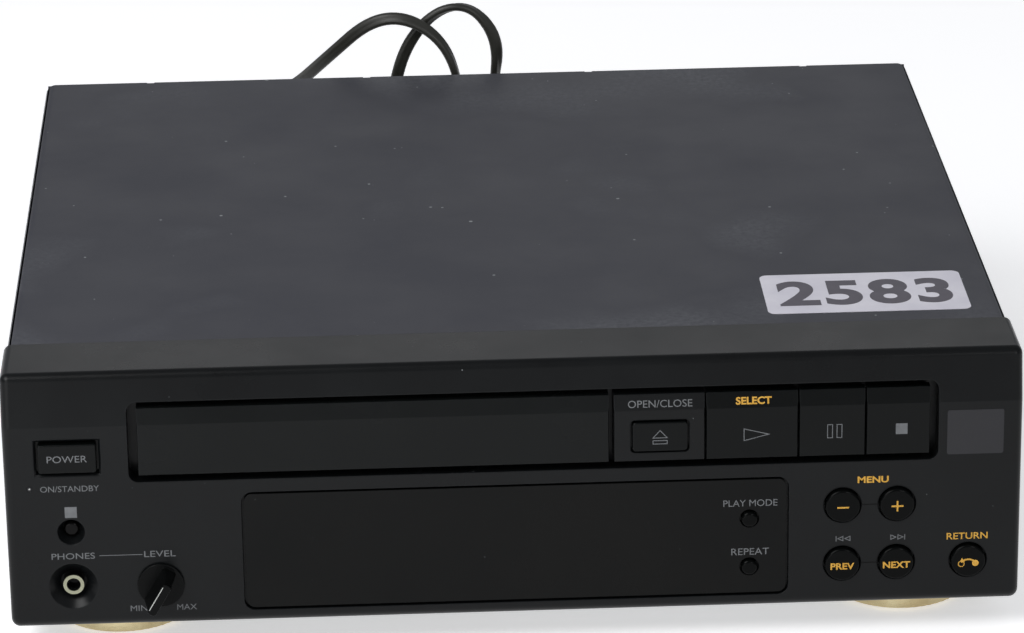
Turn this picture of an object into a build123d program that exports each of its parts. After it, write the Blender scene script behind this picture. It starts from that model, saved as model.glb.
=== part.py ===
from build123d import *
import math
import os

# Places are given as (x, depth, height): x from the middle of the front, depth behind the flat
# front face, height above the front's bottom edge. at() turns them into the part's own frame,
# whose origin lies on the floor under the middle of the player. All sizes are in millimetres.

# Case
FRONT_W = 355.0
FRONT_H = 94.5
FOLD_H = 76.0
RIDGE_DEPTH = 3.5
BAND_DEPTH = 33.0
FRONT_WALL = 2.5
FRONT_CORNER = 3.0
FRONT_UNDER_R = 4.0
FRONT_LIP = 18.0
BODY_DEPTH = 330.0
FOOT_GAP = 11.0
COVER_STEP = 0.8
COVER_T = 0.8
COVER_BEND = 4.0
SEAM = 0.3
SHEET = 1.0
PAN_H = 2.8
PAN_GAP = 0.5
PAN_FLANGE_H = 15.0
TONGUE = 6.0

# What stands out in front and behind
KNOB_OUT = 12.8
SOCKET_OUT = 9.0

# Slot for the tray and the keys
SLOT_LEFT, SLOT_RIGHT = -134.2, 148.0
SLOT_LOW, SLOT_HIGH = 54.7, 84.0
SLOT_CORNER = 3.5
COLLAR = 1.2
COLLAR_DEPTH = 8.0
LID_LEFT, LID_RIGHT = -130.8, 32.8
FACE_LOW, FACE_HIGH = 57.1, 81.8
LID_T = 2.8
LID_BACK = 7.8
PANEL_LEFT = 34.6
KEY_EDGES = [66.8, 99.3, 122.8, 145.5]
KEY_GAP = 0.6
KEY_NAMES = ["play_key", "pause_key", "stop_key"]
KEY_SKIRT = 5.0
HOLDER_T = 1.8

# Window
WINDOW_LEFT, WINDOW_RIGHT = -94.7, 94.9
WINDOW_LOW, WINDOW_HIGH = 5.8, 48.9
WINDOW_CORNER = 3.0
WINDOW_GAP = 0.9
WINDOW_SET = 0.3
WINDOW_T = 1.7
WINDOW_LEDGE = 2.5
LEDGE_T = 1.5

# Buttons: travel and what guides them
TRAVEL = 1.0
FLANGE_T = 1.2
FLANGE_LIP = 1.4
STEM_R = 2.0
ROUND_R = 6.1
ROUND_HOLE_R = 6.7
ROUND_OUT = 1.7
ROUND_EDGE = 0.9
ROUND_PLACES = {
    "minus_button": (114.7, 38.3),
    "plus_button": (133.8, 38.3),
    "previous_button": (114.7, 16.1),
    "next_button": (133.8, 16.1),
    "return_button": (159.2, 16.1),
}
DOME_R = 2.85
DOME_HOLE_R = 3.4
DOME_OUT = 1.3
DOME_PLACES = {"play_mode_button": (82.0, 34.1), "repeat_button": (82.0, 15.8)}
POWER_X, POWER_H = -155.2, 64.5
POWER_W, POWER_TALL = 20.0, 10.6
POWER_GAP = 0.9
POWER_BEVEL = 0.8
POWER_OUT = 1.0
OPEN_X, OPEN_H = 50.6, 66.4
OPEN_W, OPEN_TALL = 19.2, 10.8
OPEN_GAP = 0.7
OPEN_OUT = 0.7

# Left-hand controls
LENS_X, LENS_H = -155.0, 36.6
LENS_MOUTH_R = 4.6
LENS_R = 3.0
LAMP_X, LAMP_H = -168.7, 53.3
LAMP_R = 0.8
PHONES_X, PHONES_H = -155.1, 16.1
PHONES_DISH_R = 8.1
PHONES_WELL_R = 4.6
PHONES_RING_R = 3.6
JACK_R = 1.8
PAD_DEPTH = 4.5
PAD_WALL = 1.5
LEVEL_X, LEVEL_H = -124.5, 15.8
KNOB_R = 8.2
KNOB_T = 0.9
KNOB_GAP = 0.4
GRIP_BASE = (15.0, 5.4)
GRIP_TOP = (12.6, 3.2)
GRIP_SHIFT = 0.7
GRIP_CORNER = 1.2
POINTER_ANGLE = 30.5
SHAFT_R = 3.0
BUSH_R = 3.5

# Front board
BOARD_DEPTH = 19.0
BOARD_T = 1.6
SWITCH_SIZE = 6.0
SWITCH_T = 3.5
PLUNGER_R = 1.7
PLUNGER_T = 1.5
TUBE_T = 10.2
BOSS_R = 3.0
BOSS_PLACES = [(-104, 7), (-104, 46), (104, 7), (104, 48), (171, 34), (-171, 40), (169, 84), (-140, 84)]

# Screws
SCREW_R = 1.45
SCREW_HEAD_R = 2.8
SCREW_HEAD_T = 1.8
SCREW_LENGTH = 8.0
SCREW_HOLE_R = 1.6

# Feet
FOOT_X = 139.5
FOOT_DEPTHS = [41.0, 284.0]
RING_R = 24.5
RING_LOW, RING_HIGH = 1.2, 9.7
FOOT_R = 20.0
FOOT_FLANGE_R = 22.5
PAD_T = 1.5
PAD_R = 18.0
PAD_HOLE_R = 9.0

# Tray and its loading gear
TRAY_HALF = 69.5
TRAY_FRONT, TRAY_BACK = 3.0, 190.0
TRAY_LOW, TRAY_HIGH = 63.5, 71.5
RUNNER_HALF = 72.0
RUNNER_T = 2.0
DISC_DEPTH = 74.0
DISC_R = 61.0
DISC_FLOOR = 67.5
SMALL_DISC_R = 41.0
SMALL_DISC_FLOOR = 66.0
TRAY_SLOT_HALF = 22.0
TRAY_TRAVEL = 140.0
FRAME_HALF = 75.4
FRAME_WALL = 3.0
FRAME_FRONT, FRAME_BACK = 24.5, 205.0
FRAME_LOW, FRAME_FLOOR_T = 20.0, 2.0
FRAME_HIGH = 74.0
GEAR_X_OFFSET = 59.5
GEAR_DEPTH = 40.0
LOAD_MODULE = 1.0
PINION_TEETH = 18
TRAIN_MODULE = 0.6
WHEEL_TEETH = 32
SMALL_TEETH = 14
MOTOR_DEPTH = 84.0
PULLEY_R = 9.6
MOTOR_PULLEY_R = 3.4
BELT_HALF = 0.6
BELT_SINK = 0.7
RACK_T = 4.0
BACKLASH = 0.22
SHELF_H = 46.0
MOTOR_R = 11.0
MOTOR_LOW = 24.0
MOTOR_SCREWS = 8.0
AXLE_R = 2.0
PULLEY_LOW, PULLEY_HIGH = 50.0, 54.0
WHEEL_LOW, WHEEL_HIGH = 55.0, 58.5
PINION_LOW, PINION_HIGH = 59.2, 62.8

# Lift frame, optical base and pickup
LIFT_HALF = 44.0
LIFT_FRONT, LIFT_BACK = 47.0, 175.0
LIFT_LOW, LIFT_HIGH = 46.0, 56.0
LIFT_WALL = 4.0
PIVOT_DEPTH, PIVOT_H = 170.0, 50.0
PIVOT_R = 2.5
LIFT_ANGLE = 5.5
CAM_TRAVEL = 22.0
CAM_PIN_R = 1.5
CAM_T = 2.0
CAM_LOW, CAM_HIGH = 34.0, 56.0
DAMPER_R = 4.0
DAMPER_T = 6.0
BASE_T = 2.0
BASE_HALF = 38.5
DAMPER_PLACES = [(-34, 58), (34, 58), (-34, 164), (34, 164)]
TABLE_R = 16.0
TABLE_LOW, TABLE_HIGH = 65.7, 68.2
CONE_R, CONE_TOP_R, CONE_H = 7.4, 5.0, 2.8
SPINDLE_R = 1.0
SPINDLE_MOTOR_R = 12.0
PICKUP_FRONT, PICKUP_LENGTH = 88.0, 32.0
PICKUP_TRAVEL = 34.0
RAIL_R = 1.5
RAIL_OFFSET = -22.0
RAIL_H = 54.0
SLED_MODULE = 0.6
SLED_PINION_TEETH = 16
SLED_WHEEL_MODULE = 0.5
SLED_WHEEL_TEETH = 36
SLED_MOTOR_TEETH = 14
SLED_PITCH_X = 22.0
SLED_GEAR_DEPTH = 123.0
SLED_LOW, SLED_HIGH = 46.5, 49.5
SLED_RACK_LOW, SLED_RACK_HIGH = 50.8, 53.8
SLED_AXLE_R = 1.5
SLED_MOTOR_R = 7.5
SLED_SHAFT_R = 0.75
PULLEY_HUB_R = 13.0
PULLEY_FLANGE_R = 17.5
BRIDGE_HOLE_R = 15.0
BRIDGE_T = 1.6
RUNNING = 0.05

# Boards and supply
BOARD_H = 12.0
BOARD_INSET = 7.4
STAND_R = 3.0
CORE_X, CORE_DEPTH = 135.0, 245.0
CORE_W, CORE_T, CORE_TALL = 54.0, 26.0, 45.0
COIL_W, COIL_T, COIL_TALL = 32.0, 46.0, 30.0
CORE_FOOT = 31.5
CABLE_T = 0.6
CONNECTOR_T = 6.0

# Rear
RCA_R = 4.15
RCA_BORE_R = 1.6
RCA_BOSS_R = 4.65
RCA_BOSS_OUT = 0.5
RCA_PLACES = [-146.0, -131.0, -116.0]
RCA_H = 24.0
RCA_SCREW_X = -138.5
SWITCH_X = -84.0
SWITCH_H = 18.0
LIP_SCREW_H = 88.6
SWITCH_TRAVEL = 4.0
EXIT_X, EXIT_H = -124.0, 39.0
RELIEF_REACH = 23.0
RELIEF_HOLE_R = 6.0
RELIEF_FLANGE_R = 8.0
RELIEF_TIP_R = 4.0

# Mains lead: its route as (x, depth, height above the floor), after the strain relief
CORD_W = 5.2
CORD_PULL = 0.45
CORD_FLOOR = CORD_W / 2
PLUG_T = 13.7
PLUG_W = 26.2
PLUG_LENGTH = 35.3
PLUG_AXIS = PLUG_T / 2
COIL_X, COIL_DEPTH = 92.0, 404.0
COIL_INNER = 23.0
COIL_PITCH = 5.9
COIL_RISE = 5.7
LAYER_TURNS = 2.75
TURN_POINTS = 12
COIL_OUTER = COIL_INNER + COIL_PITCH * LAYER_TURNS
PIN_R, PIN_LENGTH, PIN_SPACING = 2.0, 19.0, 18.6
TAIL_BEND = 24.0
TAIL_LENGTH = 42.0
LEAST_GAP = 0.4
CORD_ROUTE = [
    (EXIT_X, 374, 50),
    (-121, 394, 54),
    (-111, 407, 61),
    (-97, 409, 70),
    (-86, 396, 78),
    (-77, 374, 85.5),
    (-60.5, 352, 107),
    (-43.5, 345, 124),
    (-27.5, 343, 125.5),
    (-12.5, 341, 114.5),
    (-6.5, 341, 94),
    (-4.5, 343, 56),
    (-5, 345, 17),
    (-16, 347, 5),
    (-32, 349, 5),
    (-43, 351, 17),
    (-43, 352, 52),
    (-35, 351, 89),
    (-29, 350, 111.5),
    (-15.5, 349, 127),
    (-1, 349, 128),
    (10, 349, 112.5),
    (7, 350, 90.5),
    (8, 352, 54),
    (18, 355, 24),
    (38, 360, 6),
    (COIL_X - 34, COIL_DEPTH - COIL_OUTER, CORD_FLOOR),
    (COIL_X - 16, COIL_DEPTH - COIL_OUTER, CORD_FLOOR),
]

LID_MIDDLE = (LID_LEFT + LID_RIGHT) / 2
PANEL_BACK = BODY_DEPTH - COVER_T - 0.2
FRONT_Y = (KNOB_OUT - PANEL_BACK - SOCKET_OUT) / 2
COVER_HALF = FRONT_W / 2 - COVER_STEP
COVER_TOP = FRONT_H - COVER_STEP
PAN_W = 2 * (COVER_HALF - COVER_T - PAN_GAP)
HOLDER_DEPTH = COLLAR_DEPTH + SEAM
STEM_END = BOARD_DEPTH - SWITCH_T - PLUNGER_T - TRAVEL - 0.1
FOLD_LEAN = RIDGE_DEPTH / (FRONT_H - FOLD_H)
FACE = Plane(origin=(0, FRONT_Y, FOOT_GAP), x_dir=(1, 0, 0), z_dir=(0, -1, 0))


def at(x, depth, height):
    """Turn (x, depth behind the front, height above its bottom edge) into the part's frame."""
    return (x, FRONT_Y + depth, FOOT_GAP + height)


def behind(depth):
    """A plane that faces the viewer, this far behind the flat front face."""
    return FACE.offset(-depth)


def level(height):
    """A level plane at this height above the front's bottom edge, centred on the front face."""
    return Plane(origin=(0, FRONT_Y, FOOT_GAP + height), x_dir=(1, 0, 0), z_dir=(0, 0, 1))


def block(x, depth, height, mode=Mode.ADD):
    """A box between two values of x, of depth and of height."""
    with Locations(at(sum(x) / 2, sum(depth) / 2, sum(height) / 2)):
        Box(x[1] - x[0], depth[1] - depth[0], height[1] - height[0], mode=mode)


def post(x, depth, height, radius, mode=Mode.ADD):
    """An upright cylinder between two heights."""
    with Locations(at(x, depth, sum(height) / 2)):
        Cylinder(radius, height[1] - height[0], mode=mode)


def peg(x, depth, height, radius, mode=Mode.ADD):
    """A cylinder that points at the viewer, between two depths."""
    with Locations(Location(at(x, sum(depth) / 2, height), (90, 0, 0))):
        Cylinder(radius, depth[1] - depth[0], mode=mode)


def cross_peg(x, depth, height, radius, mode=Mode.ADD):
    """A cylinder that lies across the player, between two values of x."""
    with Locations(Location(at(sum(x) / 2, depth, height), (0, 90, 0))):
        Cylinder(radius, x[1] - x[0], mode=mode)


def gear_points(module, teeth, turn=0.0):
    """Corners of a spur gear's outline, its flanks from the involute, one tooth centred at turn."""
    pitch_r = module * teeth / 2
    base_r = pitch_r * math.cos(math.radians(20))
    root_r = pitch_r - 1.1 * module
    tip_r = pitch_r + 0.8 * module
    half = (math.pi * module / 2 - BACKLASH * module) / 2 / pitch_r
    rolled = math.tan(math.radians(20)) - math.radians(20)
    flank = []
    for radius in [max(base_r, root_r + 0.1 * module), pitch_r, (pitch_r + tip_r) / 2, tip_r]:
        lean = math.acos(min(1.0, base_r / radius))
        flank.append((radius, half + rolled - (math.tan(lean) - lean)))
    points = []
    for tooth in range(teeth):
        middle = turn + 2 * math.pi * tooth / teeth
        points.append((root_r * math.cos(middle - flank[0][1]), root_r * math.sin(middle - flank[0][1])))
        for radius, away in flank:
            points.append((radius * math.cos(middle - away), radius * math.sin(middle - away)))
        for radius, away in reversed(flank):
            points.append((radius * math.cos(middle + away), radius * math.sin(middle + away)))
        points.append((root_r * math.cos(middle + flank[0][1]), root_r * math.sin(middle + flank[0][1])))
    return points


def spur(x, depth, height, module, teeth, turn):
    """An upright spur gear between two heights, one tooth centred at turn."""
    with BuildPart() as gear:
        with BuildSketch(Plane(origin=at(x, depth, height[0]), x_dir=(1, 0, 0), z_dir=(0, 0, 1))):
            with BuildLine():
                Polyline(gear_points(module, teeth, turn), close=True)
            make_face()
        extrude(amount=height[1] - height[0])
    return gear.part


def rack_points(module, pitch_x, start, teeth, back_x):
    """Corners of a rack along the depth whose teeth point to +x, the first tooth centred at start."""
    pitch = math.pi * module
    slope = math.tan(math.radians(20))
    half = (pitch / 2 - BACKLASH * module) / 2
    root_x, tip_x = pitch_x - 1.1 * module, pitch_x + 0.8 * module
    points = [(back_x, start - pitch / 2)]
    for tooth in range(teeth):
        middle = start + tooth * pitch
        points.append((root_x, middle - half - (pitch_x - root_x) * slope))
        points.append((tip_x, middle - half + (tip_x - pitch_x) * slope))
        points.append((tip_x, middle + half - (tip_x - pitch_x) * slope))
        points.append((root_x, middle + half + (pitch_x - root_x) * slope))
    points.insert(1, (root_x, start - pitch / 2))
    points.append((root_x, start + (teeth - 0.5) * pitch))
    points.append((back_x, start + (teeth - 0.5) * pitch))
    return points


def lean_profile(front, back, low, high):
    """Side outline, (y, z), of a piece that follows the front: upright, then leaning above the fold."""
    lean = (high - FOLD_H) * FOLD_LEAN
    return [
        (FRONT_Y + front, FOOT_GAP + low),
        (FRONT_Y + front, FOOT_GAP + FOLD_H),
        (FRONT_Y + front + lean, FOOT_GAP + high),
        (FRONT_Y + back, FOOT_GAP + high),
        (FRONT_Y + back, FOOT_GAP + low),
    ]


os.makedirs("parts", exist_ok=True)

# Front bezel
edge_screws = [-110.0, 0.0, 110.0]
bezel_screw_depth = 12.0
panel_screw_depth = PANEL_BACK - 6.0
with BuildPart() as front_bezel:
    with BuildSketch(Plane.YZ.offset(-FRONT_W / 2)):
        with BuildLine():
            Polyline(lean_profile(0, BAND_DEPTH, 0, FRONT_H), close=True)
        make_face()
    extrude(amount=FRONT_W)
    fillet(front_bezel.edges().filter_by(Axis.X).group_by(Axis.Z)[0].sort_by(Axis.Y)[0], FRONT_UNDER_R)
    rim = front_bezel.edges().filter_by(lambda e: abs(abs(e.center().X) - FRONT_W / 2) < 0.01)
    fillet(rim.filter_by(lambda e: e.center().Y < FRONT_Y + RIDGE_DEPTH), FRONT_CORNER)
    fillet(front_bezel.edges().filter_by(Axis.Y).group_by(Axis.Z)[-1], FRONT_CORNER)
    with BuildSketch(Plane.YZ.offset(-FRONT_W / 2 + FRONT_WALL)):
        with BuildLine():
            Polyline(
                lean_profile(FRONT_WALL, BAND_DEPTH + 1, FRONT_WALL, FRONT_H - FRONT_WALL), close=True
            )
        make_face()
    extrude(amount=FRONT_W - 2 * FRONT_WALL, mode=Mode.SUBTRACT)
    block((-FRONT_W, FRONT_W), (FRONT_LIP, BAND_DEPTH + 1), (-1, FRONT_WALL), Mode.SUBTRACT)
    # Tongue under the front edge of the cover
    tongue_top = COVER_TOP - COVER_T - SEAM
    tongue_half = COVER_HALF - COVER_T - SEAM
    block((-160, 160), (BAND_DEPTH - 8, BAND_DEPTH + TONGUE), (tongue_top - 1.5, tongue_top))
    for side in (-1, 1):
        inner, outer = sorted((side * (tongue_half - 1.5), side * tongue_half))
        block((inner, outer), (BAND_DEPTH - 8, BAND_DEPTH + TONGUE), (20, 70))
    # Collar round the slot
    with BuildSketch(behind(COLLAR_DEPTH)):
        with Locations(((SLOT_LEFT + SLOT_RIGHT) / 2, (SLOT_LOW + SLOT_HIGH) / 2)):
            RectangleRounded(
                SLOT_RIGHT - SLOT_LEFT + 2 * COLLAR, SLOT_HIGH - SLOT_LOW + 2 * COLLAR, SLOT_CORNER + COLLAR
            )
    extrude(amount=COLLAR_DEPTH - 2.2)
    with BuildSketch(behind(COLLAR_DEPTH + 1)):
        with Locations(((SLOT_LEFT + SLOT_RIGHT) / 2, (SLOT_LOW + SLOT_HIGH) / 2)):
            RectangleRounded(SLOT_RIGHT - SLOT_LEFT, SLOT_HIGH - SLOT_LOW, SLOT_CORNER)
    extrude(amount=COLLAR_DEPTH + 3, mode=Mode.SUBTRACT)
    # Window opening with a ledge that the window lies on
    window_centre = ((WINDOW_LEFT + WINDOW_RIGHT) / 2, (WINDOW_LOW + WINDOW_HIGH) / 2)
    window_w, window_tall = WINDOW_RIGHT - WINDOW_LEFT, WINDOW_HIGH - WINDOW_LOW
    ledge_depth = WINDOW_SET + WINDOW_T + SEAM
    with BuildSketch(behind(ledge_depth + LEDGE_T)):
        with Locations(window_centre):
            Rectangle(window_w + 2 * (WINDOW_GAP + 2), window_tall + 2 * (WINDOW_GAP + 2))
    extrude(amount=LEDGE_T + 0.2)
    with BuildSketch(behind(ledge_depth)):
        with Locations(window_centre):
            RectangleRounded(
                window_w + 2 * WINDOW_GAP, window_tall + 2 * WINDOW_GAP, WINDOW_CORNER + WINDOW_GAP
            )
    extrude(amount=ledge_depth + 1, mode=Mode.SUBTRACT)
    with BuildSketch(behind(BAND_DEPTH)):
        with Locations(window_centre):
            Rectangle(window_w - 2 * WINDOW_LEDGE, window_tall - 2 * WINDOW_LEDGE)
    extrude(amount=BAND_DEPTH + 1, mode=Mode.SUBTRACT)
    # Pads behind the dished holes
    for x, height, radius in [
        (PHONES_X, PHONES_H, PHONES_DISH_R + PAD_WALL),
        (LENS_X, LENS_H, LENS_MOUTH_R + PAD_WALL),
    ]:
        peg(x, (FRONT_WALL - 0.3, PAD_DEPTH), height, radius)
    # Bosses for the front board
    for x, height in BOSS_PLACES:
        peg(x, (FRONT_WALL - 0.3 if height < 70 else FRONT_WALL + 1.8, BOARD_DEPTH), height, BOSS_R)
    for x, height in BOSS_PLACES:
        peg(x, (BOARD_DEPTH - 9, BOARD_DEPTH + 1), height, SCREW_HOLE_R, Mode.SUBTRACT)
    # Button holes
    for x, height in ROUND_PLACES.values():
        peg(x, (-1, BAND_DEPTH), height, ROUND_HOLE_R, Mode.SUBTRACT)
    with BuildSketch(behind(PAD_DEPTH)):
        with Locations((POWER_X, POWER_H)):
            Rectangle(POWER_W + 2 * POWER_GAP, POWER_TALL + 2 * POWER_GAP)
    extrude(amount=PAD_DEPTH + 1, mode=Mode.SUBTRACT)
    with BuildSketch(behind(POWER_BEVEL)):
        with Locations((POWER_X, POWER_H)):
            Rectangle(POWER_W + 2 * POWER_GAP, POWER_TALL + 2 * POWER_GAP)
    with BuildSketch(FACE):
        with Locations((POWER_X, POWER_H)):
            Rectangle(
                POWER_W + 2 * (POWER_GAP + POWER_BEVEL), POWER_TALL + 2 * (POWER_GAP + POWER_BEVEL)
            )
    loft(mode=Mode.SUBTRACT)
    # Dished mouths of the phones socket and the remote lens
    for x, height, mouth, well in [
        (PHONES_X, PHONES_H, PHONES_DISH_R, PHONES_WELL_R),
        (LENS_X, LENS_H, LENS_MOUTH_R, LENS_R),
    ]:
        with Locations(Location(at(x, PAD_DEPTH / 2 - 0.5, height), (90, 0, 0))):
            Cone(well, mouth + (mouth - well) / (PAD_DEPTH - 1), PAD_DEPTH, mode=Mode.SUBTRACT)
        peg(x, (1, PAD_DEPTH + 1), height, well, Mode.SUBTRACT)
    for x in edge_screws:
        post(x, bezel_screw_depth, (-1, FRONT_WALL + 1), SCREW_HOLE_R, Mode.SUBTRACT)
    peg(LAMP_X, (-1, FRONT_WALL + 1), LAMP_H, LAMP_R + 0.1, Mode.SUBTRACT)
    peg(LEVEL_X, (-1, FRONT_WALL + 1), LEVEL_H, BUSH_R + 0.3, Mode.SUBTRACT)
front_bezel.part.label = "front_bezel"
export_step(front_bezel.part, "parts/front_bezel.step")

# Display window
with BuildPart() as display_window:
    with BuildSketch(behind(WINDOW_SET + WINDOW_T)):
        with Locations(window_centre):
            RectangleRounded(window_w, window_tall, WINDOW_CORNER)
        with Locations(*DOME_PLACES.values()):
            Circle(DOME_HOLE_R, mode=Mode.SUBTRACT)
    extrude(amount=WINDOW_T)
display_window.part.label = "display_window"
export_step(display_window.part, "parts/display_window.step")


def face_plate(left, right, back):
    """Outline of a lid or key: its side profile drawn out between two values of x."""
    with BuildPart() as plate:
        with BuildSketch(Plane.YZ.offset(left)):
            with BuildLine():
                Polyline(lean_profile(0, back, FACE_LOW, FACE_HIGH), close=True)
            make_face()
        extrude(amount=right - left)
        fillet(plate.edges().group_by(Axis.Y)[0], 0.5)
    return plate.part


# Tray lid
with BuildPart() as tray_lid:
    add(face_plate(LID_LEFT, LID_RIGHT, LID_BACK))
    inside = (LID_LEFT + LID_T, LID_RIGHT - LID_T)
    block(inside, (LID_T, 12), (FACE_LOW + 2, TRAY_HIGH + 0.3), Mode.SUBTRACT)
    block(inside, (LID_T + 1.5, 12), (TRAY_HIGH, FACE_HIGH - 2), Mode.SUBTRACT)
tray_lid.part.label = "tray_lid"
export_step(tray_lid.part, "parts/tray_lid.step")

# Key holder: a plate behind the slot with the fixed open/close panel in front of it
holder_back = HOLDER_DEPTH + HOLDER_T
key_middles = [
    ((left + right) / 2, (FACE_LOW + FACE_HIGH) / 2 - 3)
    for left, right in zip(KEY_EDGES[:-1], KEY_EDGES[1:])
]
with BuildPart() as key_holder:
    block((SLOT_LEFT - 2.5, SLOT_RIGHT + 2.5), (HOLDER_DEPTH, holder_back), (SLOT_LOW - 2.5, SLOT_HIGH + 2.5))
    add(face_plate(PANEL_LEFT, KEY_EDGES[0] - KEY_GAP, HOLDER_DEPTH + 0.5))
    panel_in = (PANEL_LEFT + 2, KEY_EDGES[0] - KEY_GAP - 2)
    block(panel_in, (2.2, HOLDER_DEPTH + 3), (FACE_LOW + 2, FOLD_H + 0.5), Mode.SUBTRACT)
    with BuildSketch(behind(6)):
        with Locations((OPEN_X, OPEN_H)):
            RectangleRounded(OPEN_W + 2 * OPEN_GAP, OPEN_TALL + 2 * OPEN_GAP, 1.6)
    extrude(amount=8, mode=Mode.SUBTRACT)
    for x, height in key_middles:
        peg(x, (HOLDER_DEPTH - 1, holder_back + 1), height, STEM_R + 0.3, Mode.SUBTRACT)
    tray_way = (LID_MIDDLE - RUNNER_HALF - 0.8, LID_MIDDLE + RUNNER_HALF + 0.8)
    block(tray_way, (HOLDER_DEPTH - 1, holder_back + 1), (TRAY_LOW - 0.8, TRAY_HIGH + 0.8), Mode.SUBTRACT)
    rack_way = (LID_MIDDLE + 45.5, LID_MIDDLE + 53.0)
    block(rack_way, (HOLDER_DEPTH - 1, holder_back + 1), (58.0, TRAY_LOW), Mode.SUBTRACT)
key_holder.part.label = "key_holder"
export_step(key_holder.part, "parts/key_holder.step")

# Play, pause and stop keys
for name, left, right, (stem_x, stem_h) in zip(KEY_NAMES, KEY_EDGES[:-1], KEY_EDGES[1:], key_middles):
    with BuildPart() as key:
        add(face_plate(left, right - KEY_GAP, KEY_SKIRT))
        key_in = (left + 1.8, right - KEY_GAP - 1.8)
        block(key_in, (3.2, KEY_SKIRT + 1), (FACE_LOW + 1.8, FACE_HIGH - 2), Mode.SUBTRACT)
        peg(stem_x, (3.0, STEM_END), stem_h, STEM_R)
    key.part.label = name
    export_step(key.part, f"parts/{name}.step")

# Open/close button
with BuildPart() as open_close_button:
    with BuildSketch(behind(2.5)):
        with Locations((OPEN_X, OPEN_H)):
            RectangleRounded(OPEN_W, OPEN_TALL, 1.2)
    extrude(amount=2.5 + OPEN_OUT)
    fillet(open_close_button.edges().group_by(Axis.Y)[0], 0.5)
    block(
        (OPEN_X - OPEN_W / 2 - FLANGE_LIP, OPEN_X + OPEN_W / 2 + FLANGE_LIP),
        (2.5, 2.5 + FLANGE_T),
        (OPEN_H - OPEN_TALL / 2 - 1, OPEN_H + OPEN_TALL / 2 + 1),
    )
    peg(OPEN_X, (2.5, STEM_END), OPEN_H, STEM_R)
open_close_button.part.label = "open_close_button"
export_step(open_close_button.part, "parts/open_close_button.step")

# Power button
with BuildPart() as power_button:
    with BuildSketch(behind(FRONT_WALL + SEAM)):
        with Locations((POWER_X, POWER_H)):
            RectangleRounded(POWER_W, POWER_TALL, 0.8)
    extrude(amount=FRONT_WALL + SEAM + POWER_OUT)
    fillet(power_button.edges().group_by(Axis.Y)[0], 0.5)
    flange_depth = FRONT_WALL + SEAM
    block(
        (POWER_X - POWER_W / 2 - 1 - POWER_GAP, POWER_X + POWER_W / 2 + 1 + POWER_GAP),
        (flange_depth, flange_depth + FLANGE_T),
        (POWER_H - POWER_TALL / 2 - 1 - POWER_GAP, POWER_H + POWER_TALL / 2 + 1 + POWER_GAP),
    )
    peg(POWER_X, (flange_depth, STEM_END), POWER_H, STEM_R)
power_button.part.label = "power_button"
export_step(power_button.part, "parts/power_button.step")


def round_button(x, height, radius, out, edge, seat):
    """A round cap with its edge rounded, a flange behind the wall at seat, and a stem."""
    with BuildPart() as button:
        peg(x, (-out, seat), height, radius)
        fillet(button.edges().group_by(Axis.Y)[0], edge)
        peg(x, (seat, seat + FLANGE_T), height, radius + FLANGE_LIP)
        peg(x, (seat, STEM_END), height, min(STEM_R, radius / 2))
    return button.part


# Round and domed buttons
for name, (x, height) in ROUND_PLACES.items():
    cap = round_button(x, height, ROUND_R, ROUND_OUT, ROUND_EDGE, FRONT_WALL + SEAM)
    cap.label = name
    export_step(cap, f"parts/{name}.step")
for name, (x, height) in DOME_PLACES.items():
    cap = round_button(x, height, DOME_R, DOME_OUT, 1.1, WINDOW_SET + WINDOW_T + SEAM)
    cap.label = name
    export_step(cap, f"parts/{name}.step")

# Remote lens, standby lamp
with BuildPart() as remote_lens:
    peg(LENS_X, (2.6, 9.0), LENS_H, LENS_R - 0.15)
    fillet(remote_lens.edges().group_by(Axis.Y)[0], 1.2)
    peg(LENS_X, (PAD_DEPTH + SEAM, 6.5), LENS_H, LENS_R + 1.2)
remote_lens.part.label = "remote_lens"
export_step(remote_lens.part, "parts/remote_lens.step")
with BuildPart() as standby_lamp:
    peg(LAMP_X, (-0.1, 4.0), LAMP_H, LAMP_R)
    peg(LAMP_X, (FRONT_WALL + 0.5, BOARD_DEPTH), LAMP_H, LAMP_R + 0.9)
standby_lamp.part.label = "standby_lamp"
export_step(standby_lamp.part, "parts/standby_lamp.step")

# Phones socket
with BuildPart() as phones_socket:
    block(
        (PHONES_X - 6, PHONES_X + 6), (PAD_DEPTH + SEAM, BOARD_DEPTH), (PHONES_H - 6.5, PHONES_H + 6.5)
    )
    peg(PHONES_X, (1.2, PAD_DEPTH + 1), PHONES_H, PHONES_RING_R)
    peg(PHONES_X, (1.0, 16.0), PHONES_H, JACK_R, Mode.SUBTRACT)
phones_socket.part.label = "phones_socket"
export_step(phones_socket.part, "parts/phones_socket.step")

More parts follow.
